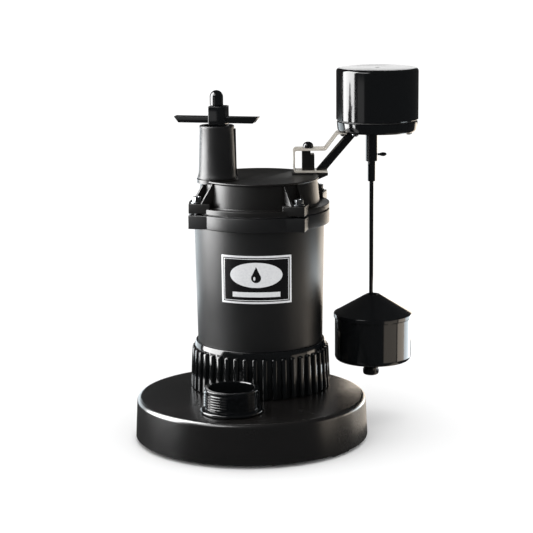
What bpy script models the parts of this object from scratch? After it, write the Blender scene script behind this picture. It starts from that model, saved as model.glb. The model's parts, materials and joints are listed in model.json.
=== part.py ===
"""Submersible sump pump with a vertical float switch, as an assembly of separate parts.

Metres, +Z up. The origin is the middle of the round base, on the floor. The discharge nipple
stands on the -Y side of the base and the motor on the +Y side. The switch hangs over +X, +Y.
"""

from math import acos, atan2, cos, hypot, pi, radians, sin, sqrt

import bmesh
import bpy
from mathutils import Matrix, Vector

MM = 0.001

# ---- Clearances and facets ---------------------------------------------------------------
GAP = 0.3 * MM                 # between two pieces that touch
PLAY = 0.5 * MM                # radial play of a piece that slides in another
OVERLAP = 1.0 * MM             # how far a shape reaches into the one it is joined to
STEPS_LARGE = 44
STEPS_MEDIUM = 28
STEPS_SMALL = 16
STEPS_TINY = 8
STEPS_HEXAGON = 12

# ---- Base ----------------------------------------------------------------------------------
BASE_RADIUS = 102.0 * MM       # at the skirt's lower edge
BASE_DRAFT = 1.5 * MM
BASE_HEIGHT = 38.0 * MM
BASE_WALL = 3.0 * MM
BASE_TOP = 3.5 * MM
BASE_RIM = 4.0 * MM
BASE_OPENING = 30.0 * MM       # hole under the motor
FOOT_HEIGHT = 3.0 * MM
FOOT_ANGLES = (radians(-25), radians(-145), radians(95))
FOOT_LENGTH = 22.0 * MM
FOOT_DEPTH = 9.0 * MM
FOOT_INSET = 1.2 * MM
MIDDLE_FOOT_RADIUS = 9.0 * MM
MOTOR_PLACE = (0.0, 36.5 * MM)
NIPPLE_SIDE = -3.3 * MM         # nipple beside the motor's axis
NIPPLE_ROOM = 6.5 * MM          # between the nipple's bead and the collar's ribs

# ---- Intake strainer -----------------------------------------------------------------------
STRAINER_THICKNESS = 3.0 * MM
SLOT_WIDTH = 3.4 * MM
SLOT_LENGTH = 11.0 * MM
SLOT_RINGS = ((20.0 * MM, 8), (36.0 * MM, 14))

# ---- Pump chamber --------------------------------------------------------------------------
CASING_HEIGHT = 19.2 * MM
CASING_WALL = 4.0 * MM
TONGUE_RADIUS = 42.0 * MM
VOLUTE_RADIUS = 52.0 * MM
VOLUTE_START = radians(-60)
VOLUTE_END = radians(240)
OUTLET_ROOM = 1.4 * MM         # round the nipple's spigot
CASING_NECK = 17.0 * MM        # hole round the impeller's hub
SUCTION_PLATE = 3.0 * MM
SUCTION_LIP = 2.2 * MM
SUCTION_LIP_WALL = 3.0 * MM
EYE_RADIUS = 18.0 * MM
IMPELLER_RADIUS = 38.0 * MM
IMPELLER_DISC = 3.0 * MM
IMPELLER_CLEARANCE = 1.0 * MM
IMPELLER_HUB = 8.0 * MM
VANES = 6
VANE_THICKNESS = 2.6 * MM
VANE_ROOT = 12.0 * MM
VANE_SWEEP = radians(62)
HUB_RISE = 1.3 * MM            # hub above the casing's roof
IMPELLER_NUT_ACROSS = 11.0 * MM
IMPELLER_NUT_HEIGHT = 5.0 * MM

# ---- Shaft and seal ------------------------------------------------------------------------
SHAFT_RADIUS = 6.0 * MM
SHAFT_SEAT_RADIUS = 5.0 * MM   # under the impeller
SHAFT_END_RADIUS = 4.0 * MM    # under the impeller nut
SPRING_HEIGHT = 4.2 * MM
SPRING_WIRE = 0.55 * MM
SPRING_TURNS = 2
SEAL_RADIUS = 9.0 * MM
SEAL_HEAD_HEIGHT = 3.0 * MM
SEAL_SEAT_RADIUS = 12.0 * MM
SEAL_SEAT_HEIGHT = 4.7 * MM
SEAL_PLATE_THICKNESS = 4.0 * MM
SEAL_PLATE_HUB = 18.0 * MM
SEAL_PLATE_HUB_HEIGHT = 4.7 * MM

# ---- Discharge nipple, 1-1/2 in. NPT -------------------------------------------------------
NIPPLE_RADIUS = 24.13 * MM
NIPPLE_WALL = 4.53 * MM
NIPPLE_HEIGHT = 21.0 * MM      # above the base
NIPPLE_BEAD_RISE = 2.87 * MM
NIPPLE_BEAD_HEIGHT = 2.8 * MM
NIPPLE_SPIGOT_STEP = 1.53 * MM
NIPPLE_LIP = 1.6 * MM
THREAD_DEPTH = 1.25 * MM
THREAD_TAPER = 1 / 32

# ---- Ribbed collar -------------------------------------------------------------------------
COLLAR_HEIGHT = 41.7 * MM
COLLAR_SLOPE = 5.0 * MM        # height of the slanted shoulder
COLLAR_GRIP = 3.3 * MM         # beyond the housing
COLLAR_SEAT = 14.0 * MM        # how deep the housing stands in it
COLLAR_RIBS = 44
RIB_WIDTH = 4.3 * MM
RIB_RISE_LOW = 3.9 * MM
RIB_RISE_HIGH = 2.4 * MM
COLLAR_LEDGE_WIDTH = 5.1 * MM
COLLAR_TOP_WALL = 1.7 * MM

# ---- Motor housing -------------------------------------------------------------------------
HOUSING_RADIUS_LOW = 55.3 * MM
HOUSING_RADIUS_HIGH = 57.4 * MM
HOUSING_WALL = 3.0 * MM
HOUSING_FLOOR = 3.7 * MM
HOUSING_LENGTH = 131.6 * MM
HOUSING_FLANGE = 11.9 * MM
BEARING_RADIUS = 16.0 * MM
BEARING_HEIGHT = 9.0 * MM
BEARING_WALL = 3.2 * MM
UPPER_BEARING_RADIUS = 13.0 * MM
UPPER_BEARING_HEIGHT = 8.7 * MM
FLANGE_RISE = 4.6 * MM
EAR_REACH = 10.69 * MM         # corner of an ear beyond the round flange

# ---- Motor ---------------------------------------------------------------------------------
CORE_RISE = 25.7 * MM          # above the housing's foot
CORE_DROP = 20.0 * MM          # below the upper end plate
STATOR_BORE = 25.0 * MM
AIR_GAP = 0.6 * MM
STATOR_SLOTS = 12
STATOR_SLOT_WIDTH = 8.4 * MM
STATOR_SLOT_DEPTH = 15.0 * MM
WINDING_HEIGHT = 11.0 * MM
WINDING_CLEARANCE = 0.6 * MM
ROTOR_END_RING = 4.0 * MM
END_PLATE_DROP = 25.9 * MM     # below the housing's top
END_PLATE_THICKNESS = 3.0 * MM

# ---- Cover ---------------------------------------------------------------------------------
GASKET_THICKNESS = 1.0 * MM
COVER_FLANGE = 4.0 * MM
EAR_HEIGHT = 8.5 * MM          # above the cover's lower face
EAR_SIDE = 23.4 * MM
EAR_STEP = 0.25 * MM
COVER_HEIGHT = 26.7 * MM
COVER_RIM_STEP = 4.5 * MM      # rim and wall inside the housing's upper radius
COVER_RIM = 2.4 * MM
COVER_WALL_LOW_STEP = 3.8 * MM
COVER_WALL_HIGH_STEP = 6.0 * MM
COVER_WALL = 3.2 * MM
COVER_ROOF = 3.4 * MM
GUSSET_OFFSET = 6.65 * MM
GUSSET_THICKNESS = 2.2 * MM
SCREW_OUTSET = 1.6 * MM        # beyond the round flange
SCREW_SHANK = 2.2 * MM
SCREW_WASHER = 5.2 * MM
SCREW_ACROSS = 7.0 * MM
SCREW_HEAD = 4.0 * MM
SCREW_WASHER_HEIGHT = 1.2 * MM
SCREW_LENGTH = 17.0 * MM
SCREW_ROOM = 0.4 * MM

# ---- Lifting tower and handle --------------------------------------------------------------
TOWER_INSET = 14.2 * MM        # inside the cover's rim
TOWER_ANGLE = radians(-146.4)
TOWER_HEIGHT = 45.8 * MM
TOWER_RADIUS_LOW = 16.1 * MM
TOWER_RADIUS_HIGH = 14.9 * MM
TOWER_FOOT_RISE = 1.3 * MM
TOWER_WALL = 3.3 * MM
TOWER_FLOOR = 12.0 * MM
TOWER_RIB_WIDTH = 3.6 * MM
TOWER_RIB_RISE = 1.5 * MM
TOWER_LUG_EDGE = 0.6 * MM
TOWER_LUG_RISE = 0.7 * MM
BLOCK_LENGTH = 15.2 * MM
BLOCK_DEPTH = 15.0 * MM
BLOCK_HEIGHT = 16.7 * MM
BLOCK_SHIFT = 1.6 * MM
BLOCK_SPIGOT = 14.0 * MM
HANDLE_LENGTH = 75.0 * MM
HANDLE_WIDTH = 10.5 * MM
HANDLE_HEIGHT = 5.3 * MM
HANDLE_WALL = 1.8 * MM
HANDLE_RISE = 2.4 * MM         # handle above the tower's top
HANDLE_BEVEL = 0.8             # run of the slanted ends for each unit of height
STUD_RADIUS = 2.5 * MM
DOME_RADIUS = 5.8 * MM
DOME_HEIGHT = 13.2 * MM

# ---- Power inlet and nameplate -------------------------------------------------------------
GLAND_RISE = 14.0 * MM         # above the cover's lower face
GLAND_RADIUS = 6.0 * MM
GLAND_BORE = 4.2 * MM
GLAND_COLLAR = 8.0 * MM
GLAND_COLLAR_LENGTH = 8.0 * MM
GLAND_TAIL = 4.0 * MM
PLATE_ANGLE = radians(-80.3)
PLATE_WIDTH = 63.0 * MM
PLATE_HEIGHT = 42.0 * MM
PLATE_RISE = 57.0 * MM         # above the housing's foot
PLATE_THICKNESS = 0.7 * MM

# ---- Switch bracket ------------------------------------------------------------------------
POST_INSET = 4.8 * MM          # inside the cover's rim
POST_ANGLE = radians(37.1)
RUN_ANGLE = radians(13.2)       # direction in which the bracket reaches out
LUG_RISE = 0.7 * MM
STRAP_THICKNESS = 1.5 * MM
STRAP_WIDTH = 20.0 * MM
STRAP_BACK = 12.6 * MM         # vertical leg, behind the post
STRAP_FOOT = 17.0 * MM
STRAP_BEND = 15.0 * MM
STRAP_RISE = 15.45 * MM        # from the strap's top run to the switch
STRAP_INSET = 1.0 * MM         # tab inside the switch's edge
STRAP_TAB = 7.8 * MM
STRAP_CURVE = 2.4 * MM
POST_SIDE = 11.0 * MM
POST_HEIGHT = 17.5 * MM
POST_NOTCH = 3.4 * MM
POST_STUD = 2.0 * MM
CLAMP_NUT_RADIUS = 4.8 * MM
CLAMP_NUT_HEIGHT = 5.3 * MM
BRACE_FOOT = 11.7 * MM
BRACE_BEYOND_STRAP = 14.5 * MM
BRACE_LENGTHWISE = 9.2 * MM    # horizontal section along the run
BRACE_WIDTH = 9.0 * MM
BRACKET_SCREW_SPACING = 11.0 * MM
BRACKET_SCREW_RADIUS = 2.6 * MM
BRACKET_SCREW_SHANK = 1.3 * MM
BRACKET_SCREW_HEAD = 1.8 * MM
BRACKET_SCREW_LENGTH = 3.6 * MM

# ---- Float switch --------------------------------------------------------------------------
SWITCH_PAST_ROD = 4.9 * MM     # switch's axis beyond the rod's
SWITCH_HEIGHT = 56.0 * MM
SWITCH_BASE_HEIGHT = 9.0 * MM
SWITCH_RADIUS = 36.4 * MM
SWITCH_BASE_STEP = 0.6 * MM
SWITCH_FOOT_STEP = 1.4 * MM
SWITCH_CHAMFER = 1.0 * MM
SWITCH_WALL = 2.6 * MM
SWITCH_FLOOR = 3.0 * MM
SWITCH_RIM = 3.0 * MM
SWITCH_SPIGOT = 4.5 * MM
SEAL_RING_THICKNESS = 1.0 * MM
SWITCH_SCREW_INSET = 7.8 * MM
SWITCH_SCREW_ANGLES = (radians(-16), radians(104), radians(224))
SWITCH_SCREW_RADIUS = 3.2 * MM
SWITCH_SCREW_HEAD = 2.2 * MM
SWITCH_SCREW_SHANK = 1.4 * MM
SWITCH_SCREW_LENGTH = 18.0 * MM
CAP_BOSS_RADIUS = 3.6 * MM
FLOAT_ROOM = 21.1 * MM         # from the post to the float's lip
BOSS_WALL = 1.3 * MM
BOSS_LENGTH = 27.0 * MM
PIN_RISE = 6.0 * MM
PIN_RADIUS = 1.0 * MM
PIN_HEAD_RADIUS = 1.8 * MM
PIN_HEAD_LENGTH = 6.2 * MM
PIN_NECK = 1.6 * MM

# ---- Switch works --------------------------------------------------------------------------
PIVOT_ARM = 22.0 * MM          # from the lever's pivot to the rod
LEVER_TAIL = 8.0 * MM
LEVER_WIDTH = 8.0 * MM
LEVER_THICKNESS = 1.6 * MM
LEVER_HUB = 2.7 * MM
LEVER_PIN = 1.0 * MM
LEVER_GAP = 0.6 * MM           # between the rod's top and the lever
CHEEK_THICKNESS = 2.4 * MM
CHEEK_BACK = 3.2 * MM
CHEEK_LENGTH = 17.0 * MM
CHEEK_HEIGHT = 30.0 * MM
SNAP_BACK = 1.5 * MM
SNAP_LENGTH = 17.5 * MM
SNAP_RISE = 16.0 * MM
SNAP_HEIGHT = 14.0 * MM
PLUNGER_ARM = 8.0 * MM
PLUNGER_RADIUS = 1.5 * MM
PLUNGER_TIP = 0.6 * MM
PLUNGER_TRAVEL = 3.6 * MM

# ---- Float and rod -------------------------------------------------------------------------
ROD_RADIUS = 1.9 * MM
ROD_RISE = 3.5 * MM            # above the switch's floor
SLEEVE_RADIUS = 3.4 * MM
SLEEVE_LENGTH = 34.0 * MM
SLEEVE_OVERLAP = 16.0 * MM     # how far the sleeve reaches into the boss
STOP_RADIUS = 7.3 * MM
STOP_CLEARANCE = 2.7 * MM      # above the base
STOP_HEIGHT = 6.9 * MM
FLOAT_PLAY = 1.6 * MM          # how far the float hangs to one side of the rod
FLOAT_CLEARANCE = 0.5 * MM
FLOAT_RADIUS = 34.4 * MM
FLOAT_LIP_RISE = 1.0 * MM
FLOAT_HEIGHT = 39.0 * MM       # lower half, from its underside to the seam
FLOAT_CONE = 21.0 * MM
FLOAT_LIP = 4.5 * MM
FLOAT_PEAK = 6.2 * MM
FLOAT_CORNER = 3.0 * MM
FLOAT_WALL = 2.4 * MM
FLOAT_HUB = 7.0 * MM
FLOAT_HUB_DROP = 6.8 * MM

# ---- Heights and places worked out from the sizes above ------------------------------------
BASE_TOP_RADIUS = BASE_RADIUS - BASE_DRAFT
NIPPLE_BORE = NIPPLE_RADIUS - NIPPLE_WALL
NIPPLE_SPIGOT = NIPPLE_RADIUS - NIPPLE_SPIGOT_STEP
NIPPLE_BEAD = NIPPLE_RADIUS + NIPPLE_BEAD_RISE
COLLAR_RADIUS = HOUSING_RADIUS_LOW + COLLAR_GRIP
COLLAR_BORE = HOUSING_RADIUS_LOW - COLLAR_LEDGE_WIDTH
RIB_RADIUS_LOW = COLLAR_RADIUS + RIB_RISE_LOW
RIB_RADIUS_HIGH = COLLAR_RADIUS + RIB_RISE_HIGH
NIPPLE_PLACE = (NIPPLE_SIDE, MOTOR_PLACE[1] - RIB_RADIUS_LOW - NIPPLE_ROOM - NIPPLE_BEAD)
OUTLET_WELL = NIPPLE_SPIGOT + OUTLET_ROOM
CASING_TOP = BASE_HEIGHT - BASE_TOP - GAP
CASING_LOW = CASING_TOP - CASING_HEIGHT
SUCTION_LOW = CASING_LOW - GAP - SUCTION_PLATE
CHAMBER_TOP = CASING_TOP - CASING_WALL
IMPELLER_TOP = CHAMBER_TOP - IMPELLER_CLEARANCE
IMPELLER_LOW = CASING_LOW + IMPELLER_CLEARANCE
HUB_TOP = CHAMBER_TOP + HUB_RISE
IMPELLER_BORE = SHAFT_SEAT_RADIUS + GAP
COLLAR_LOW = BASE_HEIGHT + GAP
COLLAR_TOP = COLLAR_LOW + COLLAR_HEIGHT
COLLAR_SHOULDER = COLLAR_TOP - COLLAR_SLOPE
COLLAR_LEDGE = COLLAR_TOP - COLLAR_SEAT
SEAL_HEAD_LOW = HUB_TOP + GAP + SPRING_HEIGHT + GAP
SEAL_SEAT_LOW = SEAL_HEAD_LOW + SEAL_HEAD_HEIGHT + GAP
HOUSING_LOW = COLLAR_LEDGE + GAP
HOUSING_TOP = HOUSING_LOW + HOUSING_LENGTH
HOUSING_FLANGE_LOW = HOUSING_TOP - HOUSING_FLANGE
HOUSING_TAPER = (HOUSING_RADIUS_HIGH - HOUSING_RADIUS_LOW) / (HOUSING_FLANGE_LOW - HOUSING_LOW)
BEARING_LOW = HOUSING_LOW + HOUSING_FLOOR - 1.0 * MM
FLANGE_RADIUS = HOUSING_RADIUS_HIGH + FLANGE_RISE
FLANGE_CORNER = (FLANGE_RADIUS + EAR_REACH) / sqrt(2)    # half the side of the square flange
EAR_INNER = FLANGE_CORNER - EAR_SIDE
SCREW_CIRCLE = FLANGE_RADIUS + SCREW_OUTSET
END_PLATE_LOW = HOUSING_TOP - END_PLATE_DROP
CORE_LOW = HOUSING_LOW + CORE_RISE
CORE_HIGH = END_PLATE_LOW - CORE_DROP
PLATE_LOW = HOUSING_LOW + PLATE_RISE
PLATE_HIGH = PLATE_LOW + PLATE_HEIGHT
GASKET_LOW = HOUSING_TOP + GAP
COVER_LOW = GASKET_LOW + GASKET_THICKNESS + GAP
COVER_TOP = COVER_LOW + COVER_HEIGHT
COVER_RIM_RADIUS = HOUSING_RADIUS_HIGH - COVER_RIM_STEP
COVER_WALL_LOW = HOUSING_RADIUS_HIGH - COVER_WALL_LOW_STEP
COVER_WALL_HIGH = HOUSING_RADIUS_HIGH - COVER_WALL_HIGH_STEP
GLAND_HEIGHT = COVER_LOW + GLAND_RISE
TOWER_OFFSET = COVER_RIM_RADIUS - TOWER_INSET
POST_OFFSET = COVER_RIM_RADIUS - POST_INSET
EAR_TOP = COVER_LOW + EAR_HEIGHT
COVER_INSIDE = COVER_TOP - COVER_ROOF
COVER_SLOPE = (COVER_WALL_LOW - COVER_WALL_HIGH) / (COVER_TOP - COVER_LOW)
TOWER_LOW = COVER_TOP + TOWER_LUG_RISE + GAP
TOWER_TOP = TOWER_LOW + TOWER_HEIGHT
TOWER_FOOT = TOWER_RADIUS_LOW + TOWER_FOOT_RISE
TOWER_BORE = TOWER_RADIUS_HIGH - TOWER_WALL
TOWER_LUG = TOWER_FOOT + TOWER_LUG_EDGE
HANDLE_LOW = TOWER_TOP + HANDLE_RISE
BLOCK_LOW = TOWER_TOP + GAP
BLOCK_TOP = BLOCK_LOW + BLOCK_HEIGHT
DOME_LOW = BLOCK_TOP + GAP
STUD_LOW = BLOCK_LOW - 7.0 * MM
STUD_TOP = DOME_LOW + 6.0 * MM
SHAFT_TOP = END_PLATE_LOW + END_PLATE_THICKNESS + UPPER_BEARING_HEIGHT + 4.0 * MM
LUG_TOP = COVER_TOP + LUG_RISE
STRAP_FOOT_MID = LUG_TOP + GAP + STRAP_THICKNESS / 2
POST_LOW = STRAP_FOOT_MID + STRAP_THICKNESS / 2 + GAP
POST_TOP = POST_LOW + POST_HEIGHT
STRAP_TOP_MID = POST_TOP + GAP + STRAP_THICKNESS / 2
SWITCH_BOTTOM = STRAP_TOP_MID + STRAP_RISE
SWITCH_SEAM = SWITCH_BOTTOM + SWITCH_BASE_HEIGHT
SWITCH_TOP = SWITCH_BOTTOM + SWITCH_HEIGHT
SWITCH_BASE_RADIUS = SWITCH_RADIUS - SWITCH_BASE_STEP
SWITCH_FOOT_RADIUS = SWITCH_RADIUS - SWITCH_FOOT_STEP
SWITCH_SCREW_CIRCLE = SWITCH_RADIUS - SWITCH_SCREW_INSET
FLOAT_LIP_RADIUS = FLOAT_RADIUS + FLOAT_LIP_RISE
ROD_REACH = FLOAT_LIP_RADIUS + FLOAT_ROOM
SWITCH_REACH = ROD_REACH + SWITCH_PAST_ROD
STRAP_REACH = SWITCH_REACH - SWITCH_RADIUS + STRAP_INSET
BRACE_REACH = STRAP_REACH + BRACE_BEYOND_STRAP
STRAP_TAB_MID = SWITCH_BOTTOM - GAP - STRAP_THICKNESS / 2
CLAMP_NUT_LOW = STRAP_TOP_MID + STRAP_THICKNESS / 2 + GAP
POST_STUD_LOW = COVER_INSIDE + 1.6 * MM
POST_STUD_TOP = CLAMP_NUT_LOW + 3.2 * MM
BOSS_BORE = SLEEVE_RADIUS + PLAY
BOSS_RADIUS = BOSS_BORE + BOSS_WALL
BOSS_BOTTOM = SWITCH_BOTTOM - BOSS_LENGTH
PIN_HEIGHT = BOSS_BOTTOM + PIN_RISE
CAP_LOW = SWITCH_SEAM + GAP + SEAL_RING_THICKNESS + GAP
SWITCH_INSIDE = SWITCH_BOTTOM + SWITCH_FLOOR
SPIGOT_RADIUS = SWITCH_RADIUS - SWITCH_WALL - GAP
PIVOT_REACH = ROD_REACH - PIVOT_ARM
ROD_TOP = SWITCH_INSIDE + ROD_RISE
SLEEVE_TOP = BOSS_BOTTOM + SLEEVE_OVERLAP
SLEEVE_BOTTOM = SLEEVE_TOP - SLEEVE_LENGTH
CHEEK_TOP = SWITCH_BOTTOM + CHEEK_HEIGHT
SNAP_BOTTOM = SWITCH_BOTTOM + SNAP_RISE
PIVOT_HEIGHT = ROD_TOP + LEVER_GAP + LEVER_THICKNESS / 2
CHEEK_INSIDE = LEVER_WIDTH / 2 + 1.0 * MM
PLUNGER_LOW = PIVOT_HEIGHT + LEVER_THICKNESS / 2 + GAP
STOP_BOTTOM = BASE_HEIGHT + STOP_CLEARANCE
STOP_TOP = STOP_BOTTOM + STOP_HEIGHT
FLOAT_LOW = STOP_TOP + GAP + FLOAT_HUB_DROP
FLOAT_SEAM = FLOAT_LOW + FLOAT_HEIGHT
FLOAT_BORE = ROD_RADIUS + FLOAT_PLAY + FLOAT_CLEARANCE

# ---- Finishes: colour, metallic, roughness -------------------------------------------------
FINISHES = {
    "base_plastic": ((0.018, 0.018, 0.020), 0.0, 0.38),
    "gloss_black": ((0.008, 0.009, 0.010), 0.0, 0.12),
    "satin_black": ((0.020, 0.021, 0.023), 0.0, 0.34),
    "cover_plastic": ((0.020, 0.019, 0.018), 0.0, 0.40),
    "stainless": ((0.62, 0.60, 0.56), 1.0, 0.28),
    "zinc": ((0.55, 0.57, 0.58), 1.0, 0.32),
    "steel": ((0.50, 0.50, 0.51), 1.0, 0.30),
    "laminations": ((0.24, 0.25, 0.27), 1.0, 0.50),
    "copper": ((0.62, 0.26, 0.10), 1.0, 0.35),
    "rubber": ((0.015, 0.015, 0.016), 0.0, 0.70),
    "ceramic": ((0.78, 0.76, 0.70), 0.0, 0.25),
    "carbon": ((0.03, 0.03, 0.035), 0.0, 0.45),
    "aluminium": ((0.66, 0.67, 0.69), 1.0, 0.40),
    "impeller_plastic": ((0.035, 0.035, 0.038), 0.0, 0.42),
    "works_plastic": ((0.05, 0.05, 0.055), 0.0, 0.45),
    "label_silver": ((0.60, 0.61, 0.62), 0.85, 0.30),
}


# ---- Tools for building --------------------------------------------------------------------
def clear_scene():
    for obj in list(bpy.data.objects):
        bpy.data.objects.remove(obj)


def finish(name):
    """The named material, made the first time that it is asked for."""
    found = bpy.data.materials.get(name)
    if found:
        return found
    colour, metallic, roughness = FINISHES[name]
    made = bpy.data.materials.new(name)
    made.use_nodes = True
    shader = made.node_tree.nodes["Principled BSDF"]
    shader.inputs["Base Color"].default_value = (*colour, 1.0)
    shader.inputs["Metallic"].default_value = metallic
    shader.inputs["Roughness"].default_value = roughness
    return made


def empty(name, at, turn=0.0, parent=None):
    """An empty that carries the parts on one axis."""
    holder = bpy.data.objects.new(name, None)
    holder.location = at
    holder.rotation_euler = (0, 0, turn)
    holder.parent = parent
    bpy.context.collection.objects.link(holder)
    return holder


def build(name, shape, material, parent=None):
    """Turns a bmesh into an object, shaded smooth except at its corners."""
    mesh = bpy.data.meshes.new(name)
    shape.to_mesh(mesh)
    shape.free()
    mesh.materials.append(finish(material))
    mesh.shade_smooth()
    mesh.set_sharp_from_angle(angle=radians(35))
    obj = bpy.data.objects.new(name, mesh)
    obj.parent = parent
    bpy.context.collection.objects.link(obj)
    return obj


def combine(obj, shape, operation, name):
    """Joins a shape to an object, or cuts it out, with a Boolean and a hidden helper."""
    helper = build(f"{obj.name}_{name}", shape, "steel", obj.parent)
    helper.hide_render = True
    helper.display_type = "WIRE"
    modifier = obj.modifiers.new(name, "BOOLEAN")
    modifier.operation = operation
    modifier.object = helper
    modifier.solver = "EXACT"


def fuse(obj, shape, name):
    combine(obj, shape, "UNION", name)


def carve(obj, shape, name):
    combine(obj, shape, "DIFFERENCE", name)


def arc(middle, radius, start, end, steps):
    """Points on an arc, both ends included."""
    return [
        (
            middle[0] + radius * cos(start + (end - start) * i / steps),
            middle[1] + radius * sin(start + (end - start) * i / steps),
        )
        for i in range(steps + 1)
    ]


def polar(radius, angle):
    return Vector((radius * cos(angle), radius * sin(angle), 0.0))


def moved(shape, at=(0, 0, 0), turn=0.0):
    """The shape turned about +Z and then moved."""
    matrix = Matrix.Translation(at) @ Matrix.Rotation(turn, 4, "Z")
    bmesh.ops.transform(shape, matrix=matrix, verts=shape.verts)
    return shape


def upright(shape):
    """Stands a prism up: its outline's second axis becomes +Z, and its height runs along Y."""
    bmesh.ops.transform(shape, matrix=Matrix.Rotation(pi / 2, 4, "X"), verts=shape.verts)
    return shape


def lengthwise(shape):
    """Lays a turned shape along +X."""
    bmesh.ops.transform(shape, matrix=Matrix.Rotation(pi / 2, 4, "Y"), verts=shape.verts)
    return shape


def turned(profile, steps):
    """A profile in (radius, height), spun about +Z. One with both ends on the axis is solid."""
    shape = bmesh.new()
    verts = [shape.verts.new((radius, 0.0, height)) for radius, height in profile]
    edges = [shape.edges.new(pair) for pair in zip(verts, verts[1:])]
    if profile[0][0] > 0:
        edges.append(shape.edges.new((verts[-1], verts[0])))
    bmesh.ops.spin(
        shape, geom=verts + edges, axis=(0, 0, 1), cent=(0, 0, 0), angle=2 * pi, steps=steps
    )
    bmesh.ops.remove_doubles(shape, verts=shape.verts, dist=0.001 * MM)
    bmesh.ops.recalc_face_normals(shape, faces=shape.faces)
    return shape


def prism(outline, low, high):
    """A flat outline in X and Y, extruded from one height to another."""
    shape = bmesh.new()
    face = shape.faces.new([shape.verts.new((x, y, low)) for x, y in outline])
    grown = bmesh.ops.extrude_face_region(shape, geom=[face])["geom"]
    tops = [item for item in grown if isinstance(item, bmesh.types.BMVert)]
    bmesh.ops.translate(shape, verts=tops, vec=(0, 0, high - low))
    bmesh.ops.recalc_face_normals(shape, faces=shape.faces)
    return shape


def rod(radius, low, high, steps=STEPS_SMALL):
    return turned([(0, high), (radius, high), (radius, low), (0, low)], steps)


def ring(bore, radius, low, high, steps=STEPS_MEDIUM):
    return turned([(radius, high), (radius, low), (bore, low), (bore, high)], steps)


def rectangle(x_low, x_high, y_low, y_high):
    return [(x_low, y_low), (x_high, y_low), (x_high, y_high), (x_low, y_high)]


def box(x_low, x_high, y_low, y_high, low, high):
    return prism(rectangle(x_low, x_high, y_low, y_high), low, high)


def gathered(shapes):
    """Separate shapes that don't touch, in one bmesh."""
    whole = bmesh.new()
    for shape in shapes:
        mesh = bpy.data.meshes.new("gathered")
        shape.to_mesh(mesh)
        shape.free()
        whole.from_mesh(mesh)
        bpy.data.meshes.remove(mesh)
    return whole


def hexagon(across):
    return [tuple(polar(across / sqrt(3), pi / 3 * i)[:2]) for i in range(6)]


def hexed(shape, across, low, high):
    """Pulls the round stretch between two heights in to a hexagon. Its steps divide by six."""
    for vert in shape.verts:
        if low <= vert.co.z <= high and hypot(vert.co.x, vert.co.y) > 0:
            angle = atan2(vert.co.y, vert.co.x) % (pi / 3) - pi / 6
            radius = across / 2 / cos(angle)
            vert.co.xy = vert.co.xy.normalized() * radius
    return shape


# ---- Base, strainer and pump chamber -------------------------------------------------------
def make_base_shell():
    rim_middle = (BASE_TOP_RADIUS - BASE_RIM, BASE_HEIGHT - BASE_RIM)
    rim = arc(rim_middle, BASE_RIM, pi / 2, 0, 3)
    profile = [(0, BASE_HEIGHT), *rim, (BASE_RADIUS, FOOT_HEIGHT)]
    profile += [(BASE_RADIUS - BASE_WALL, FOOT_HEIGHT)]
    profile += [(BASE_TOP_RADIUS - BASE_WALL, BASE_HEIGHT - BASE_TOP)]
    profile += [(0, BASE_HEIGHT - BASE_TOP)]
    shell = build("base_shell", turned(profile, STEPS_LARGE), "base_plastic")
    low, high = BASE_HEIGHT - 2 * BASE_TOP, BASE_HEIGHT + BASE_TOP
    opening = moved(rod(BASE_OPENING, low, high, STEPS_MEDIUM), (*MOTOR_PLACE, 0))
    outlet = moved(rod(NIPPLE_SPIGOT + GAP, low, high, STEPS_MEDIUM), (*NIPPLE_PLACE, 0))
    carve(shell, gathered([opening, outlet]), "openings")


def make_strainer():
    low = FOOT_HEIGHT + GAP
    high = low + STRAINER_THICKNESS
    radius = BASE_RADIUS - BASE_WALL - 2 * GAP
    plate = build("strainer_plate", rod(radius, low, high, STEPS_LARGE), "base_plastic")
    feet = [rod(MIDDLE_FOOT_RADIUS, 0, low + OVERLAP)]
    for angle in FOOT_ANGLES:
        half_foot = FOOT_LENGTH / 2
        foot = box(radius - FOOT_DEPTH, radius - FOOT_INSET, -half_foot, half_foot, 0, low + OVERLAP)
        feet.append(moved(foot, turn=angle))
    fuse(plate, gathered(feet), "feet")
    slots = []
    for inner, count in SLOT_RINGS:
        for i in range(count):
            outline = rectangle(inner, inner + SLOT_LENGTH, -SLOT_WIDTH / 2, SLOT_WIDTH / 2)
            slot = prism(outline, low - OVERLAP, high + OVERLAP)
            slots.append(moved(slot, (*MOTOR_PLACE, 0), 2 * pi * (i + 0.5) / count))
    carve(plate, gathered(slots), "slots")


def volute_outline(grow):
    """The pump chamber's plan: a spiral round the motor that opens into a well at the outlet."""
    steps = 30
    outline = []
    for i in range(steps + 1):
        radius = TONGUE_RADIUS + (VOLUTE_RADIUS - TONGUE_RADIUS) * i / steps + grow
        point = polar(radius, VOLUTE_START + (VOLUTE_END - VOLUTE_START) * i / steps)
        outline.append((MOTOR_PLACE[0] + point.x, MOTOR_PLACE[1] + point.y))
    return outline + arc(NIPPLE_PLACE, OUTLET_WELL + grow, pi, 2 * pi, 12)


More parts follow.
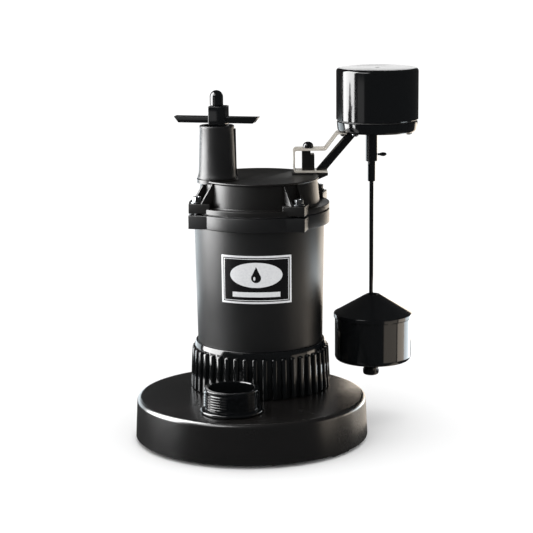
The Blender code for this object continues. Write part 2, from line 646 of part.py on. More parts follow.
def make_pump_chamber():
    outer = volute_outline(CASING_WALL)
    casing = build("volute_casing", prism(outer, CASING_LOW, CASING_TOP), "impeller_plastic")
    inner = prism(volute_outline(0), CASING_LOW - OVERLAP, CHAMBER_TOP)
    carve(casing, inner, "chamber")
    low, high = CHAMBER_TOP - OVERLAP, CASING_TOP + OVERLAP
    neck = moved(rod(CASING_NECK, low, high), (*MOTOR_PLACE, 0))
    outlet = moved(rod(NIPPLE_BORE, low, high, STEPS_MEDIUM), (*NIPPLE_PLACE, 0))
    carve(casing, gathered([neck, outlet]), "holes")

    plate_top = SUCTION_LOW + SUCTION_PLATE
    plate = build("suction_plate", prism(outer, SUCTION_LOW, plate_top), "impeller_plastic")
    lip_low = SUCTION_LOW - SUCTION_LIP
    lip = rod(EYE_RADIUS + SUCTION_LIP_WALL, lip_low, SUCTION_LOW + OVERLAP, STEPS_MEDIUM)
    fuse(plate, moved(lip, (*MOTOR_PLACE, 0)), "lip")
    eye = rod(EYE_RADIUS, lip_low - OVERLAP, plate_top + OVERLAP, STEPS_MEDIUM)
    carve(plate, moved(eye, (*MOTOR_PLACE, 0)), "eye")


def make_nipple(discharge_axis):
    """The discharge, from its top lip down its outer side to its spigot. Its thread is plain."""
    top = BASE_HEIGHT + NIPPLE_HEIGHT
    bead_top = COLLAR_LOW + NIPPLE_BEAD_HEIGHT

    root = NIPPLE_RADIUS - THREAD_DEPTH
    crest_top = NIPPLE_RADIUS - (top - bead_top) * THREAD_TAPER
    profile = [(NIPPLE_BORE, top), (crest_top - THREAD_DEPTH / 2, top), (crest_top, top - NIPPLE_LIP)]
    profile += [(NIPPLE_RADIUS, bead_top + THREAD_DEPTH), (root, bead_top)]
    profile += arc(
        (NIPPLE_BEAD - NIPPLE_BEAD_HEIGHT / 2, bead_top - NIPPLE_BEAD_HEIGHT / 2),
        NIPPLE_BEAD_HEIGHT / 2, pi / 2, -pi / 2, 3,
    )
    profile += [(NIPPLE_SPIGOT, COLLAR_LOW), (NIPPLE_SPIGOT, CASING_TOP + GAP)]
    profile += [(NIPPLE_BORE, CASING_TOP + GAP)]
    build("discharge_nipple", turned(profile, STEPS_MEDIUM), "gloss_black", discharge_axis)


def make_collar(motor_axis):
    top_bore = HOUSING_RADIUS_LOW + HOUSING_TAPER * (COLLAR_TOP - HOUSING_LOW) + GAP
    body = [(top_bore, COLLAR_TOP), (top_bore + COLLAR_TOP_WALL, COLLAR_TOP)]
    body += [(COLLAR_RADIUS, COLLAR_SHOULDER), (COLLAR_RADIUS, COLLAR_LOW)]
    body += [(COLLAR_BORE, COLLAR_LOW), (COLLAR_BORE, COLLAR_LEDGE), (top_bore, COLLAR_LEDGE)]
    collar = build("ribbed_collar", turned(body, STEPS_LARGE), "gloss_black", motor_axis)
    rib_outline = [
        (COLLAR_RADIUS - OVERLAP, COLLAR_LOW),
        (RIB_RADIUS_LOW, COLLAR_LOW),
        (RIB_RADIUS_HIGH, COLLAR_SHOULDER - OVERLAP),
        (RIB_RADIUS_HIGH - 1.4 * MM, COLLAR_SHOULDER),
        (COLLAR_RADIUS - OVERLAP, COLLAR_SHOULDER),
    ]
    ribs = [
        moved(upright(prism(rib_outline, -RIB_WIDTH / 2, RIB_WIDTH / 2)), turn=2 * pi * i / COLLAR_RIBS)
        for i in range(COLLAR_RIBS)
    ]
    fuse(collar, gathered(ribs), "ribs")


# ---- Rotating parts ------------------------------------------------------------------------
def vane_outline():
    """One backward-curved vane in plan, with an even thickness."""
    steps = 5
    outer_side, inner_side = [], []
    for i in range(steps + 1):
        along = i / steps
        radius = VANE_ROOT + (IMPELLER_RADIUS - GAP - VANE_ROOT) * along
        angle = -VANE_SWEEP * along
        half = VANE_THICKNESS / 2 / radius
        outer_side.append(tuple(polar(radius, angle + half)[:2]))
        inner_side.append(tuple(polar(radius, angle - half)[:2]))
    return outer_side + inner_side[::-1]


def make_impeller(rotor_axis):
    disc_low = IMPELLER_TOP - IMPELLER_DISC
    profile = [(IMPELLER_HUB, HUB_TOP), (IMPELLER_HUB, IMPELLER_TOP)]
    profile += [(IMPELLER_RADIUS, IMPELLER_TOP), (IMPELLER_RADIUS, disc_low)]
    profile += [(IMPELLER_HUB, disc_low), (IMPELLER_HUB, IMPELLER_LOW)]
    profile += [(IMPELLER_BORE, IMPELLER_LOW), (IMPELLER_BORE, HUB_TOP)]
    impeller = build("impeller", turned(profile, STEPS_MEDIUM), "impeller_plastic", rotor_axis)
    vanes = [
        moved(prism(vane_outline(), IMPELLER_LOW, disc_low + OVERLAP), turn=2 * pi * i / VANES)
        for i in range(VANES)
    ]
    fuse(impeller, gathered(vanes), "vanes")


def make_shaft(rotor_axis):
    nut_top = IMPELLER_LOW - GAP
    nut_low = nut_top - IMPELLER_NUT_HEIGHT
    shoulder = HUB_TOP + GAP
    profile = [(0, SHAFT_TOP), (SHAFT_RADIUS, SHAFT_TOP), (SHAFT_RADIUS, shoulder)]
    profile += [(SHAFT_SEAT_RADIUS, shoulder), (SHAFT_SEAT_RADIUS, nut_top + GAP)]
    profile += [(SHAFT_END_RADIUS, nut_top + GAP), (SHAFT_END_RADIUS, nut_low), (0, nut_low)]
    build("shaft", turned(profile, STEPS_SMALL), "steel", rotor_axis)

    nut = prism(hexagon(IMPELLER_NUT_ACROSS), nut_low, nut_top)
    nut = build("impeller_nut", nut, "stainless", rotor_axis)
    carve(nut, rod(SHAFT_END_RADIUS + GAP, nut_low - OVERLAP, nut_top + OVERLAP), "bore")

    core = STATOR_BORE - AIR_GAP
    end_ring = core - 4 * MM
    profile = [(SHAFT_RADIUS + GAP, CORE_HIGH), (end_ring - 6 * MM, CORE_HIGH)]
    profile += [(end_ring - 6 * MM, CORE_HIGH + ROTOR_END_RING), (end_ring, CORE_HIGH + ROTOR_END_RING)]
    profile += [(end_ring, CORE_HIGH), (core, CORE_HIGH), (core, CORE_LOW), (end_ring, CORE_LOW)]
    profile += [(end_ring, CORE_LOW - ROTOR_END_RING), (end_ring - 6 * MM, CORE_LOW - ROTOR_END_RING)]
    profile += [(end_ring - 6 * MM, CORE_LOW), (SHAFT_RADIUS + GAP, CORE_LOW)]
    build("rotor_core", turned(profile, STEPS_SMALL), "laminations", rotor_axis)


def make_shaft_seal(rotor_axis, motor_axis):
    bore = SHAFT_RADIUS + GAP
    low = HUB_TOP + GAP + GAP + SPRING_WIRE
    high = HUB_TOP + GAP + SPRING_HEIGHT - SPRING_WIRE
    radius = SEAL_RADIUS - SPRING_WIRE - 1.0 * MM
    points_each = 14
    count = SPRING_TURNS * points_each
    curve = bpy.data.curves.new("seal_spring", "CURVE")
    curve.dimensions = "3D"
    curve.bevel_depth = SPRING_WIRE
    curve.bevel_resolution = 1
    curve.use_fill_caps = True
    spline = curve.splines.new("POLY")
    spline.points.add(count)
    for i, point in enumerate(spline.points):
        place = polar(radius, 2 * pi * i / points_each)
        point.co = (place.x, place.y, low + (high - low) * i / count, 1.0)
    curve.materials.append(finish("stainless"))
    spring = bpy.data.objects.new("seal_spring", curve)
    spring.parent = rotor_axis
    bpy.context.collection.objects.link(spring)

    head = ring(bore, SEAL_RADIUS, SEAL_HEAD_LOW, SEAL_HEAD_LOW + SEAL_HEAD_HEIGHT, STEPS_SMALL)
    build("seal_head", head, "carbon", rotor_axis)
    seat = ring(bore, SEAL_SEAT_RADIUS, SEAL_SEAT_LOW, SEAL_SEAT_LOW + SEAL_SEAT_HEIGHT, STEPS_SMALL)
    build("seal_seat", seat, "ceramic", motor_axis)

    hole = SEAL_SEAT_RADIUS + GAP
    plate_top = COLLAR_LOW + SEAL_PLATE_THICKNESS
    hub_top = plate_top + SEAL_PLATE_HUB_HEIGHT
    profile = [(hole, hub_top), (SEAL_PLATE_HUB, hub_top), (SEAL_PLATE_HUB, plate_top)]
    profile += [(COLLAR_BORE - GAP, plate_top), (COLLAR_BORE - GAP, COLLAR_LOW), (hole, COLLAR_LOW)]
    build("seal_plate", turned(profile, STEPS_MEDIUM), "aluminium", motor_axis)


# ---- Motor housing and the fixed parts in it -----------------------------------------------
def housing_radius(height):
    return HOUSING_RADIUS_LOW + HOUSING_TAPER * (height - HOUSING_LOW)


def housing_inside(height):
    return housing_radius(height) - HOUSING_WALL


def flange_outline(grow=0.0):
    """A disc with the four corners of a square standing out of it as ears."""
    radius, corner = FLANGE_RADIUS + grow, FLANGE_CORNER + grow
    reach = acos(corner / radius)
    outline = []
    for quarter in range(4):
        facing = quarter * pi / 2
        outline += arc((0, 0), radius, facing - reach, facing + reach, 6)
        outline.append(tuple(polar(corner * sqrt(2), facing + pi / 4)[:2]))
    return outline


def ear_place(index, height=0.0):
    place = polar(SCREW_CIRCLE, pi / 4 + index * pi / 2)
    place.z = height
    return place


def make_housing(motor_axis):
    profile = [(0, HOUSING_TOP), (housing_radius(HOUSING_TOP), HOUSING_TOP)]
    profile += [(HOUSING_RADIUS_LOW, HOUSING_LOW), (0, HOUSING_LOW)]
    housing = build("motor_housing", turned(profile, STEPS_LARGE), "satin_black", motor_axis)
    fuse(housing, prism(flange_outline(), HOUSING_FLANGE_LOW, HOUSING_TOP), "flange")
    floor = HOUSING_LOW + HOUSING_FLOOR
    boss_top = BEARING_LOW + BEARING_HEIGHT + GAP
    pocket = BEARING_RADIUS + GAP
    inside = [(0, HOUSING_TOP + OVERLAP), (housing_inside(HOUSING_TOP + OVERLAP), HOUSING_TOP + OVERLAP)]
    inside += [(housing_inside(floor), floor), (pocket + BEARING_WALL, floor)]
    inside += [(pocket + BEARING_WALL, boss_top), (pocket, boss_top), (pocket, BEARING_LOW - GAP)]
    shaft_hole = SHAFT_RADIUS + 2 * MM
    inside += [(shaft_hole, BEARING_LOW - GAP), (shaft_hole, HOUSING_LOW - OVERLAP)]
    inside += [(0, HOUSING_LOW - OVERLAP)]
    carve(housing, turned(inside, STEPS_LARGE), "inside")
    hole_low = HOUSING_FLANGE_LOW + 2 * MM
    holes = [
        moved(rod(SCREW_SHANK + SCREW_ROOM, hole_low, HOUSING_TOP + OVERLAP, STEPS_TINY), ear_place(i))
        for i in range(4)
    ]
    carve(housing, gathered(holes), "screw_holes")


def bearing(name, radius, low, height, motor_axis):
    build(name, ring(SHAFT_RADIUS + GAP, radius, low, low + height, STEPS_SMALL), "steel", motor_axis)


def make_motor(motor_axis):
    bearing("lower_bearing", BEARING_RADIUS, BEARING_LOW, BEARING_HEIGHT, motor_axis)
    plate_top = END_PLATE_LOW + END_PLATE_THICKNESS
    upper_low = plate_top + GAP
    bearing("upper_bearing", UPPER_BEARING_RADIUS, upper_low, UPPER_BEARING_HEIGHT, motor_axis)

    rim = housing_inside(END_PLATE_LOW) - GAP
    pocket = UPPER_BEARING_RADIUS + GAP
    wall = pocket + BEARING_WALL
    top = upper_low + UPPER_BEARING_HEIGHT
    profile = [(pocket, top), (wall, top), (wall, plate_top), (rim, plate_top), (rim, END_PLATE_LOW)]
    profile += [(SHAFT_RADIUS + 2 * MM, END_PLATE_LOW), (SHAFT_RADIUS + 2 * MM, plate_top)]
    profile += [(pocket, plate_top)]
    build("upper_end_plate", turned(profile, STEPS_MEDIUM), "aluminium", motor_axis)

    core_radius = housing_inside(CORE_LOW) - GAP
    core = ring(STATOR_BORE, core_radius, CORE_LOW, CORE_HIGH, STEPS_MEDIUM)
    core = build("stator_core", core, "laminations", motor_axis)
    slot_end = STATOR_BORE + STATOR_SLOT_DEPTH
    slots, bars = [], []
    for i in range(STATOR_SLOTS):
        turn = 2 * pi * (i + 0.5) / STATOR_SLOTS
        half = STATOR_SLOT_WIDTH / 2
        slot = box(STATOR_BORE - OVERLAP, slot_end, -half, half, CORE_LOW - OVERLAP, CORE_HIGH + OVERLAP)
        slots.append(moved(slot, turn=turn))
        half -= WINDING_CLEARANCE
        bar = box(
            STATOR_BORE + 3 * MM, slot_end - WINDING_CLEARANCE, -half, half,
            CORE_LOW - WINDING_HEIGHT / 2, CORE_HIGH + WINDING_HEIGHT / 2,
        )
        bars.append(moved(bar, turn=turn))
    carve(core, gathered(slots), "slots")

    inner, outer = STATOR_BORE + 2 * MM, core_radius - 5 * MM
    low, high = CORE_LOW - WINDING_CLEARANCE, CORE_HIGH + WINDING_CLEARANCE
    coil = ring(inner, outer, low - WINDING_HEIGHT, low, STEPS_SMALL)
    winding = build("stator_winding", coil, "copper", motor_axis)
    fuse(winding, gathered(bars), "bars")
    fuse(winding, ring(inner, outer, high, high + WINDING_HEIGHT, STEPS_SMALL), "upper_coil")

    protector = moved(rod(9 * MM, 0, 10 * MM), (*polar(34 * MM, radians(200))[:2], plate_top + GAP))
    build("overload_protector", protector, "carbon", motor_axis)
    block = box(-13 * MM, 13 * MM, -6 * MM, 6 * MM, 0, 12 * MM)
    block = moved(block, (*polar(35 * MM, radians(60))[:2], plate_top + GAP), radians(60) + pi / 2)
    terminals = build("terminal_block", block, "works_plastic", motor_axis)
    holes = [
        moved(rod(2 * MM, 6 * MM, 14 * MM, STEPS_TINY), (x * MM, 0, plate_top + GAP))
        for x in (-8, 0, 8)
    ]
    place = (*polar(35 * MM, radians(60))[:2], 0)
    carve(terminals, moved(gathered(holes), place, radians(60) + pi / 2), "terminals")


# ---- Cover ---------------------------------------------------------------------------------
def cover_radius(height):
    return COVER_WALL_LOW - COVER_SLOPE * (height - COVER_LOW)


def switch_lug_outline():
    """The lug under the bracket's foot, in (run, height), with its underside sloping back."""
    end = STRAP_FOOT + GAP
    back = -STRAP_BACK - 2 * MM
    return [(back, COVER_INSIDE - 2 * MM), (-2 * MM, COVER_INSIDE - 6 * MM), (end, LUG_TOP - 2 * MM),
            (end, LUG_TOP), (back, LUG_TOP)]


def make_cover(motor_axis, post_place):
    rim = COVER_RIM / 4
    wall_top = COVER_TOP - COVER_RIM
    profile = [(0, COVER_TOP), (COVER_RIM_RADIUS - rim, COVER_TOP), (COVER_RIM_RADIUS, COVER_TOP - rim)]
    profile += [(COVER_RIM_RADIUS, wall_top + rim), (cover_radius(wall_top), wall_top)]
    profile += [(cover_radius(COVER_LOW), COVER_LOW), (0, COVER_LOW)]
    cover = build("top_cover", turned(profile, STEPS_LARGE), "cover_plastic", motor_axis)
    fuse(cover, prism(flange_outline(), COVER_LOW, COVER_LOW + COVER_FLANGE), "flange")

    edge = FLANGE_CORNER - EAR_STEP
    ear_low = COVER_LOW + COVER_FLANGE / 2
    ears, gussets, holes = [], [], []
    for i in range(4):
        turn = i * pi / 2
        ears.append(moved(box(EAR_INNER, edge, EAR_INNER, edge, ear_low, EAR_TOP), turn=turn))
        end = edge * sqrt(2) - GUSSET_OFFSET - GUSSET_THICKNESS
        slope = [
            (cover_radius(COVER_TOP) - COVER_WALL, EAR_TOP - OVERLAP), (end, EAR_TOP - OVERLAP),
            (end, EAR_TOP + OVERLAP), (COVER_RIM_RADIUS - rim, wall_top + rim),
            (cover_radius(COVER_TOP) - COVER_WALL, wall_top + rim),
        ]
        for side in (-GUSSET_OFFSET, GUSSET_OFFSET):
            plate = prism(slope, side - GUSSET_THICKNESS / 2, side + GUSSET_THICKNESS / 2)
            gussets.append(moved(upright(plate), turn=turn + pi / 4))
        hole = rod(SCREW_SHANK + SCREW_ROOM, COVER_LOW - OVERLAP, EAR_TOP + OVERLAP, STEPS_TINY)
        holes.append(moved(hole, ear_place(i)))
    fuse(cover, gathered(ears), "ears")
    fuse(cover, gathered(gussets), "gussets")
    tower_lug = rod(TOWER_LUG, COVER_INSIDE - OVERLAP, COVER_TOP + TOWER_LUG_RISE, STEPS_MEDIUM)
    fuse(cover, moved(tower_lug, polar(TOWER_OFFSET, TOWER_ANGLE)), "tower_lug")
    half = STRAP_WIDTH / 2 + GAP
    switch_lug = upright(prism(switch_lug_outline(), -half, half))
    place = Vector(post_place) - Vector(MOTOR_PLACE)
    fuse(cover, moved(switch_lug, (*place, 0), RUN_ANGLE), "switch_lug")

    inside = [(0, COVER_INSIDE), (cover_radius(COVER_INSIDE) - COVER_WALL, COVER_INSIDE)]
    inside += [(cover_radius(COVER_LOW) - COVER_WALL, COVER_LOW - OVERLAP), (0, COVER_LOW - OVERLAP)]
    carve(cover, turned(inside, STEPS_LARGE), "inside")
    stud_hole = rod(POST_STUD + SCREW_ROOM, POST_STUD_LOW - GAP, LUG_TOP + OVERLAP, STEPS_TINY)
    holes.append(moved(stud_hole, (*place, 0)))
    inlet = rod(GLAND_RADIUS + GAP, 0, COVER_WALL_LOW + OVERLAP)
    bmesh.ops.transform(inlet, matrix=Matrix.Rotation(-pi / 2, 4, "X"), verts=inlet.verts)
    holes.append(moved(inlet, (0, cover_radius(COVER_INSIDE) / 2, GLAND_HEIGHT)))
    carve(cover, gathered(holes), "holes")

    gasket_inner = housing_radius(HOUSING_TOP)
    gasket = ring(gasket_inner, FLANGE_RADIUS - OVERLAP, GASKET_LOW, GASKET_LOW + GASKET_THICKNESS)
    gasket = build("cover_gasket", gasket, "rubber", motor_axis)
    clearances = [
        moved(rod(SCREW_SHANK + SCREW_ROOM, GASKET_LOW - OVERLAP, COVER_LOW, STEPS_TINY), ear_place(i))
        for i in range(4)
    ]
    carve(gasket, gathered(clearances), "screw_holes")


def make_cover_screws(motor_axis):
    low = EAR_TOP + GAP
    washer_top = low + SCREW_WASHER_HEIGHT
    top = washer_top + SCREW_HEAD
    for i in range(4):
        profile = [(0, top), (SCREW_ACROSS / 2, top), (SCREW_ACROSS / 2, washer_top + 0.1 * MM)]
        profile += [(SCREW_WASHER, washer_top), (SCREW_WASHER, low), (SCREW_SHANK, low)]
        profile += [(SCREW_SHANK, low - SCREW_LENGTH), (0, low - SCREW_LENGTH)]
        shape = hexed(turned(profile, STEPS_HEXAGON), SCREW_ACROSS, washer_top + 0.05 * MM, top)
        build(f"cover_screw_{i + 1}", moved(shape, ear_place(i)), "zinc", motor_axis)


# ---- Lifting tower and handle --------------------------------------------------------------
def make_tower(tower_axis):
    profile = [(0, TOWER_LOW + TOWER_FLOOR), (TOWER_BORE, TOWER_LOW + TOWER_FLOOR)]
    profile += [(TOWER_BORE, TOWER_TOP), (TOWER_RADIUS_HIGH - 0.5 * MM, TOWER_TOP)]
    profile += [(TOWER_RADIUS_HIGH, TOWER_TOP - 0.8 * MM), (TOWER_RADIUS_LOW, TOWER_LOW + 6 * MM)]
    profile += [(TOWER_FOOT, TOWER_LOW + 1.2 * MM), (TOWER_FOOT, TOWER_LOW), (0, TOWER_LOW)]
    tower = build("lifting_tower", turned(profile, STEPS_MEDIUM), "satin_black", tower_axis)
    inner = TOWER_BORE + GAP
    outline = [
        (inner, TOWER_LOW + 1.2 * MM), (TOWER_FOOT, TOWER_LOW + 1.2 * MM),
        (TOWER_RADIUS_LOW + TOWER_RIB_RISE / 2, TOWER_LOW + 6 * MM),
        (TOWER_RADIUS_HIGH + TOWER_RIB_RISE, TOWER_TOP - 3 * MM), (inner, TOWER_TOP - 3 * MM),
    ]
    rib = upright(prism(outline, -TOWER_RIB_WIDTH / 2, TOWER_RIB_WIDTH / 2))
    fuse(tower, moved(rib, turn=RUN_ANGLE), "rib")


def make_handle(tower_axis):
    half_length, half_depth = BLOCK_LENGTH / 2, BLOCK_DEPTH / 2
    left, right = BLOCK_SHIFT - half_length, BLOCK_SHIFT + half_length
    body = box(left, right, -half_depth, half_depth, BLOCK_LOW, BLOCK_TOP)
    block = build("handle_block", body, "gloss_black", tower_axis)
    spigot = TOWER_BORE - GAP
    fuse(block, rod(half_depth - GAP, BLOCK_LOW - BLOCK_SPIGOT, BLOCK_LOW + OVERLAP), "spigot")
    pilot_low = BLOCK_LOW - BLOCK_SPIGOT
    pilot = ring(half_depth - OVERLAP, spigot, pilot_low, pilot_low + 3 * MM)
    fuse(block, pilot, "pilot")
    half_slot = HANDLE_WIDTH / 2 + GAP
    slot_top = HANDLE_LOW + HANDLE_HEIGHT + GAP
    slot = box(-BLOCK_LENGTH, BLOCK_LENGTH, -half_slot, half_slot, HANDLE_LOW - GAP, slot_top)
    carve(block, slot, "slot")
    carve(block, rod(STUD_RADIUS + GAP, STUD_LOW - GAP, BLOCK_TOP + OVERLAP), "stud_hole")

    half, wall = HANDLE_WIDTH / 2, HANDLE_WALL
    section = [(-half, 0), (-half + wall, 0), (-half + wall, HANDLE_HEIGHT - wall)]
    section += [(half - wall, HANDLE_HEIGHT - wall), (half - wall, 0), (half, 0)]
    section += [(half, HANDLE_HEIGHT), (-half, HANDLE_HEIGHT)]
    bar = upright(prism(section, -HANDLE_LENGTH / 2, HANDLE_LENGTH / 2))
    for vert in bar.verts:
        side = 1 if vert.co.y > 0 else -1
        vert.co.y -= side * (HANDLE_HEIGHT - vert.co.z) * HANDLE_BEVEL
    handle = build("t_handle", moved(bar, (0, 0, HANDLE_LOW), pi / 2), "gloss_black", tower_axis)
    hole = rod(STUD_RADIUS + GAP, HANDLE_LOW - OVERLAP, HANDLE_LOW + 2 * HANDLE_HEIGHT)
    carve(handle, hole, "stud_hole")

    build("handle_stud", rod(STUD_RADIUS, STUD_LOW, STUD_TOP), "zinc", tower_axis)
    dome_middle = DOME_LOW + DOME_HEIGHT - DOME_RADIUS
    profile = arc((0, dome_middle), DOME_RADIUS, pi / 2, 0, 5)
    profile[0] = (0, dome_middle + DOME_RADIUS)
    bore = STUD_RADIUS + GAP
    profile += [(DOME_RADIUS, DOME_LOW), (bore, DOME_LOW), (bore, STUD_TOP + GAP), (0, STUD_TOP + GAP)]
    build("dome_nut", turned(profile, STEPS_SMALL), "gloss_black", tower_axis)


# ---- Power inlet and nameplate -------------------------------------------------------------
def make_gland(motor_axis):
    """A hollow rubber bush in the back of the cover's wall."""
    wall = cover_radius(GLAND_HEIGHT)
    low, mid, high = wall - COVER_WALL - GLAND_TAIL, wall + OVERLAP, wall + OVERLAP + GLAND_COLLAR_LENGTH
    profile = [(GLAND_BORE, high), (GLAND_COLLAR - 2 * MM, high), (GLAND_COLLAR, mid)]
    profile += [(GLAND_RADIUS, mid), (GLAND_RADIUS, low), (GLAND_BORE, low)]
    bush = turned(profile, STEPS_SMALL)
    bmesh.ops.transform(bush, matrix=Matrix.Rotation(-pi / 2, 4, "X"), verts=bush.verts)
    build("cord_gland", moved(bush, (0, 0, GLAND_HEIGHT)), "rubber", motor_axis)


def make_nameplate(motor_axis):
    """A thin blank plate bent round the tapered housing."""
    inner = housing_radius(PLATE_LOW) + GAP
    half = PLATE_WIDTH / 2 / inner
    outline = arc((0, 0), inner + PLATE_THICKNESS, PLATE_ANGLE - half, PLATE_ANGLE + half, 14)
    outline += arc((0, 0), inner, PLATE_ANGLE + half, PLATE_ANGLE - half, 14)
    plate = prism(outline, PLATE_LOW, PLATE_HIGH)
    for vert in plate.verts:
        growth = HOUSING_TAPER * (vert.co.z - PLATE_LOW)
        vert.co.xy += vert.co.xy.normalized() * growth
    build("nameplate", plate, "label_silver", motor_axis)


# ---- Switch bracket ------------------------------------------------------------------------
def rounded_path(corners, radius, steps):
    """A path through the corners, each rounded with an arc."""
    path = [Vector(corners[0])]
    for before, here, after in zip(corners, corners[1:], corners[2:]):
        here = Vector(here)
        back = (Vector(before) - here).normalized()
        ahead = (Vector(after) - here).normalized()
        half = back.angle(ahead) / 2
        start = here + back * radius * cos(half) / sin(half)
        middle = here + (back + ahead).normalized() * radius / sin(half)
        end = here + ahead * radius * cos(half) / sin(half)
        first, last = start - middle, end - middle
        swing = first.angle_signed(last)
        for i in range(steps + 1):
            path.append(middle + Matrix.Rotation(-swing * i / steps, 2) @ first)
    return path + [Vector(corners[-1])]


def thickened(path, thickness):
    """The outline of a strip of even thickness along a path."""
    left, right = [], []
    for i, point in enumerate(path):
        before = (point - path[i - 1]).normalized() if i else (path[1] - point).normalized()
        after = (path[i + 1] - point).normalized() if i + 1 < len(path) else before
        along = (before + after).normalized()
        across = Vector((-along.y, along.x)) * thickness / 2 / max(0.5, along.dot(before))
        left.append(tuple(point + across))
        right.append(tuple(point - across))
    return left + right[::-1]


def make_bracket(switch_frame):
    corners = [(STRAP_FOOT, STRAP_FOOT_MID), (-STRAP_BACK, STRAP_FOOT_MID)]
    corners += [(-STRAP_BACK, STRAP_TOP_MID), (STRAP_BEND, STRAP_TOP_MID)]
    corners += [(STRAP_REACH, STRAP_TAB_MID), (STRAP_REACH + STRAP_TAB, STRAP_TAB_MID)]
    outline = thickened(rounded_path(corners, STRAP_CURVE, 3), STRAP_THICKNESS)
    half = STRAP_WIDTH / 2
    strap = build("switch_bracket", upright(prism(outline, -half, half)), "stainless", switch_frame)
    hole = SCREW_ROOM + POST_STUD
    cutters = [rod(hole, STRAP_FOOT_MID - STRAP_THICKNESS, STRAP_FOOT_MID + STRAP_THICKNESS, STEPS_TINY)]
    cutters += [rod(hole, STRAP_TOP_MID - STRAP_THICKNESS, STRAP_TOP_MID + STRAP_THICKNESS, STEPS_TINY)]
    screw_place = STRAP_REACH + STRAP_TAB / 2 + OVERLAP
    for side in (-1, 1):
        screw_hole = rod(
            BRACKET_SCREW_SHANK + SCREW_ROOM, STRAP_TAB_MID - STRAP_THICKNESS,
            STRAP_TAB_MID + STRAP_THICKNESS, STEPS_TINY,
        )
        cutters.append(moved(screw_hole, (screw_place, side * BRACKET_SCREW_SPACING / 2, 0)))
    carve(strap, gathered(cutters), "holes")

    side = POST_SIDE / 2
    post = box(-side, side, -side, side, POST_LOW, POST_TOP)
    post = build("bracket_post", post, "satin_black", switch_frame)
    notch_low = POST_TOP - POST_NOTCH
    notch = box(POST_STUD, POST_SIDE, -POST_SIDE, POST_SIDE, notch_low, POST_TOP + OVERLAP)
    carve(post, notch, "notch")
    carve(post, rod(hole, POST_LOW - OVERLAP, POST_TOP + OVERLAP, STEPS_TINY), "bore")
    build("post_stud", rod(POST_STUD, POST_STUD_LOW, POST_STUD_TOP, STEPS_TINY), "zinc", switch_frame)

    dome_height = CLAMP_NUT_HEIGHT - 1.4 * MM
    shoulder = CLAMP_NUT_LOW + 1.4 * MM
    profile = [
        (CLAMP_NUT_RADIUS * cos(angle), shoulder + dome_height * sin(angle))
        for angle in (radians(90 - 18 * i) for i in range(6))
    ]
    profile[0] = (0, shoulder + dome_height)
    profile += [(CLAMP_NUT_RADIUS, CLAMP_NUT_LOW), (hole, CLAMP_NUT_LOW)]
    profile += [(hole, POST_STUD_TOP + GAP), (0, POST_STUD_TOP + GAP)]
    build("clamp_nut", turned(profile, STEPS_SMALL), "gloss_black", switch_frame)

    brace_low, brace_high = POST_LOW, SWITCH_BOTTOM - GAP
    half_run = BRACE_LENGTHWISE / 2
    outline = [(BRACE_FOOT - half_run, brace_low), (BRACE_FOOT + half_run, brace_low)]
    outline += [(BRACE_REACH + half_run, brace_high), (BRACE_REACH - half_run, brace_high)]
    brace = upright(prism(outline, -BRACE_WIDTH / 2, BRACE_WIDTH / 2))
    build("brace_arm", brace, "gloss_black", switch_frame)

    head_top = STRAP_TAB_MID - STRAP_THICKNESS / 2 - GAP
    head_low = head_top - BRACKET_SCREW_HEAD
    tip = head_top + BRACKET_SCREW_LENGTH
    for number, side in ((1, -1), (2, 1)):
        profile = [(0, tip), (BRACKET_SCREW_SHANK, tip), (BRACKET_SCREW_SHANK, head_top)]
        profile += [(BRACKET_SCREW_RADIUS, head_top)]
        profile += [(BRACKET_SCREW_RADIUS * 0.7, head_low), (0, head_low)]
        screw = moved(turned(profile, STEPS_TINY), (screw_place, side * BRACKET_SCREW_SPACING / 2, 0))
        build(f"bracket_screw_{number}", screw, "zinc", switch_frame)


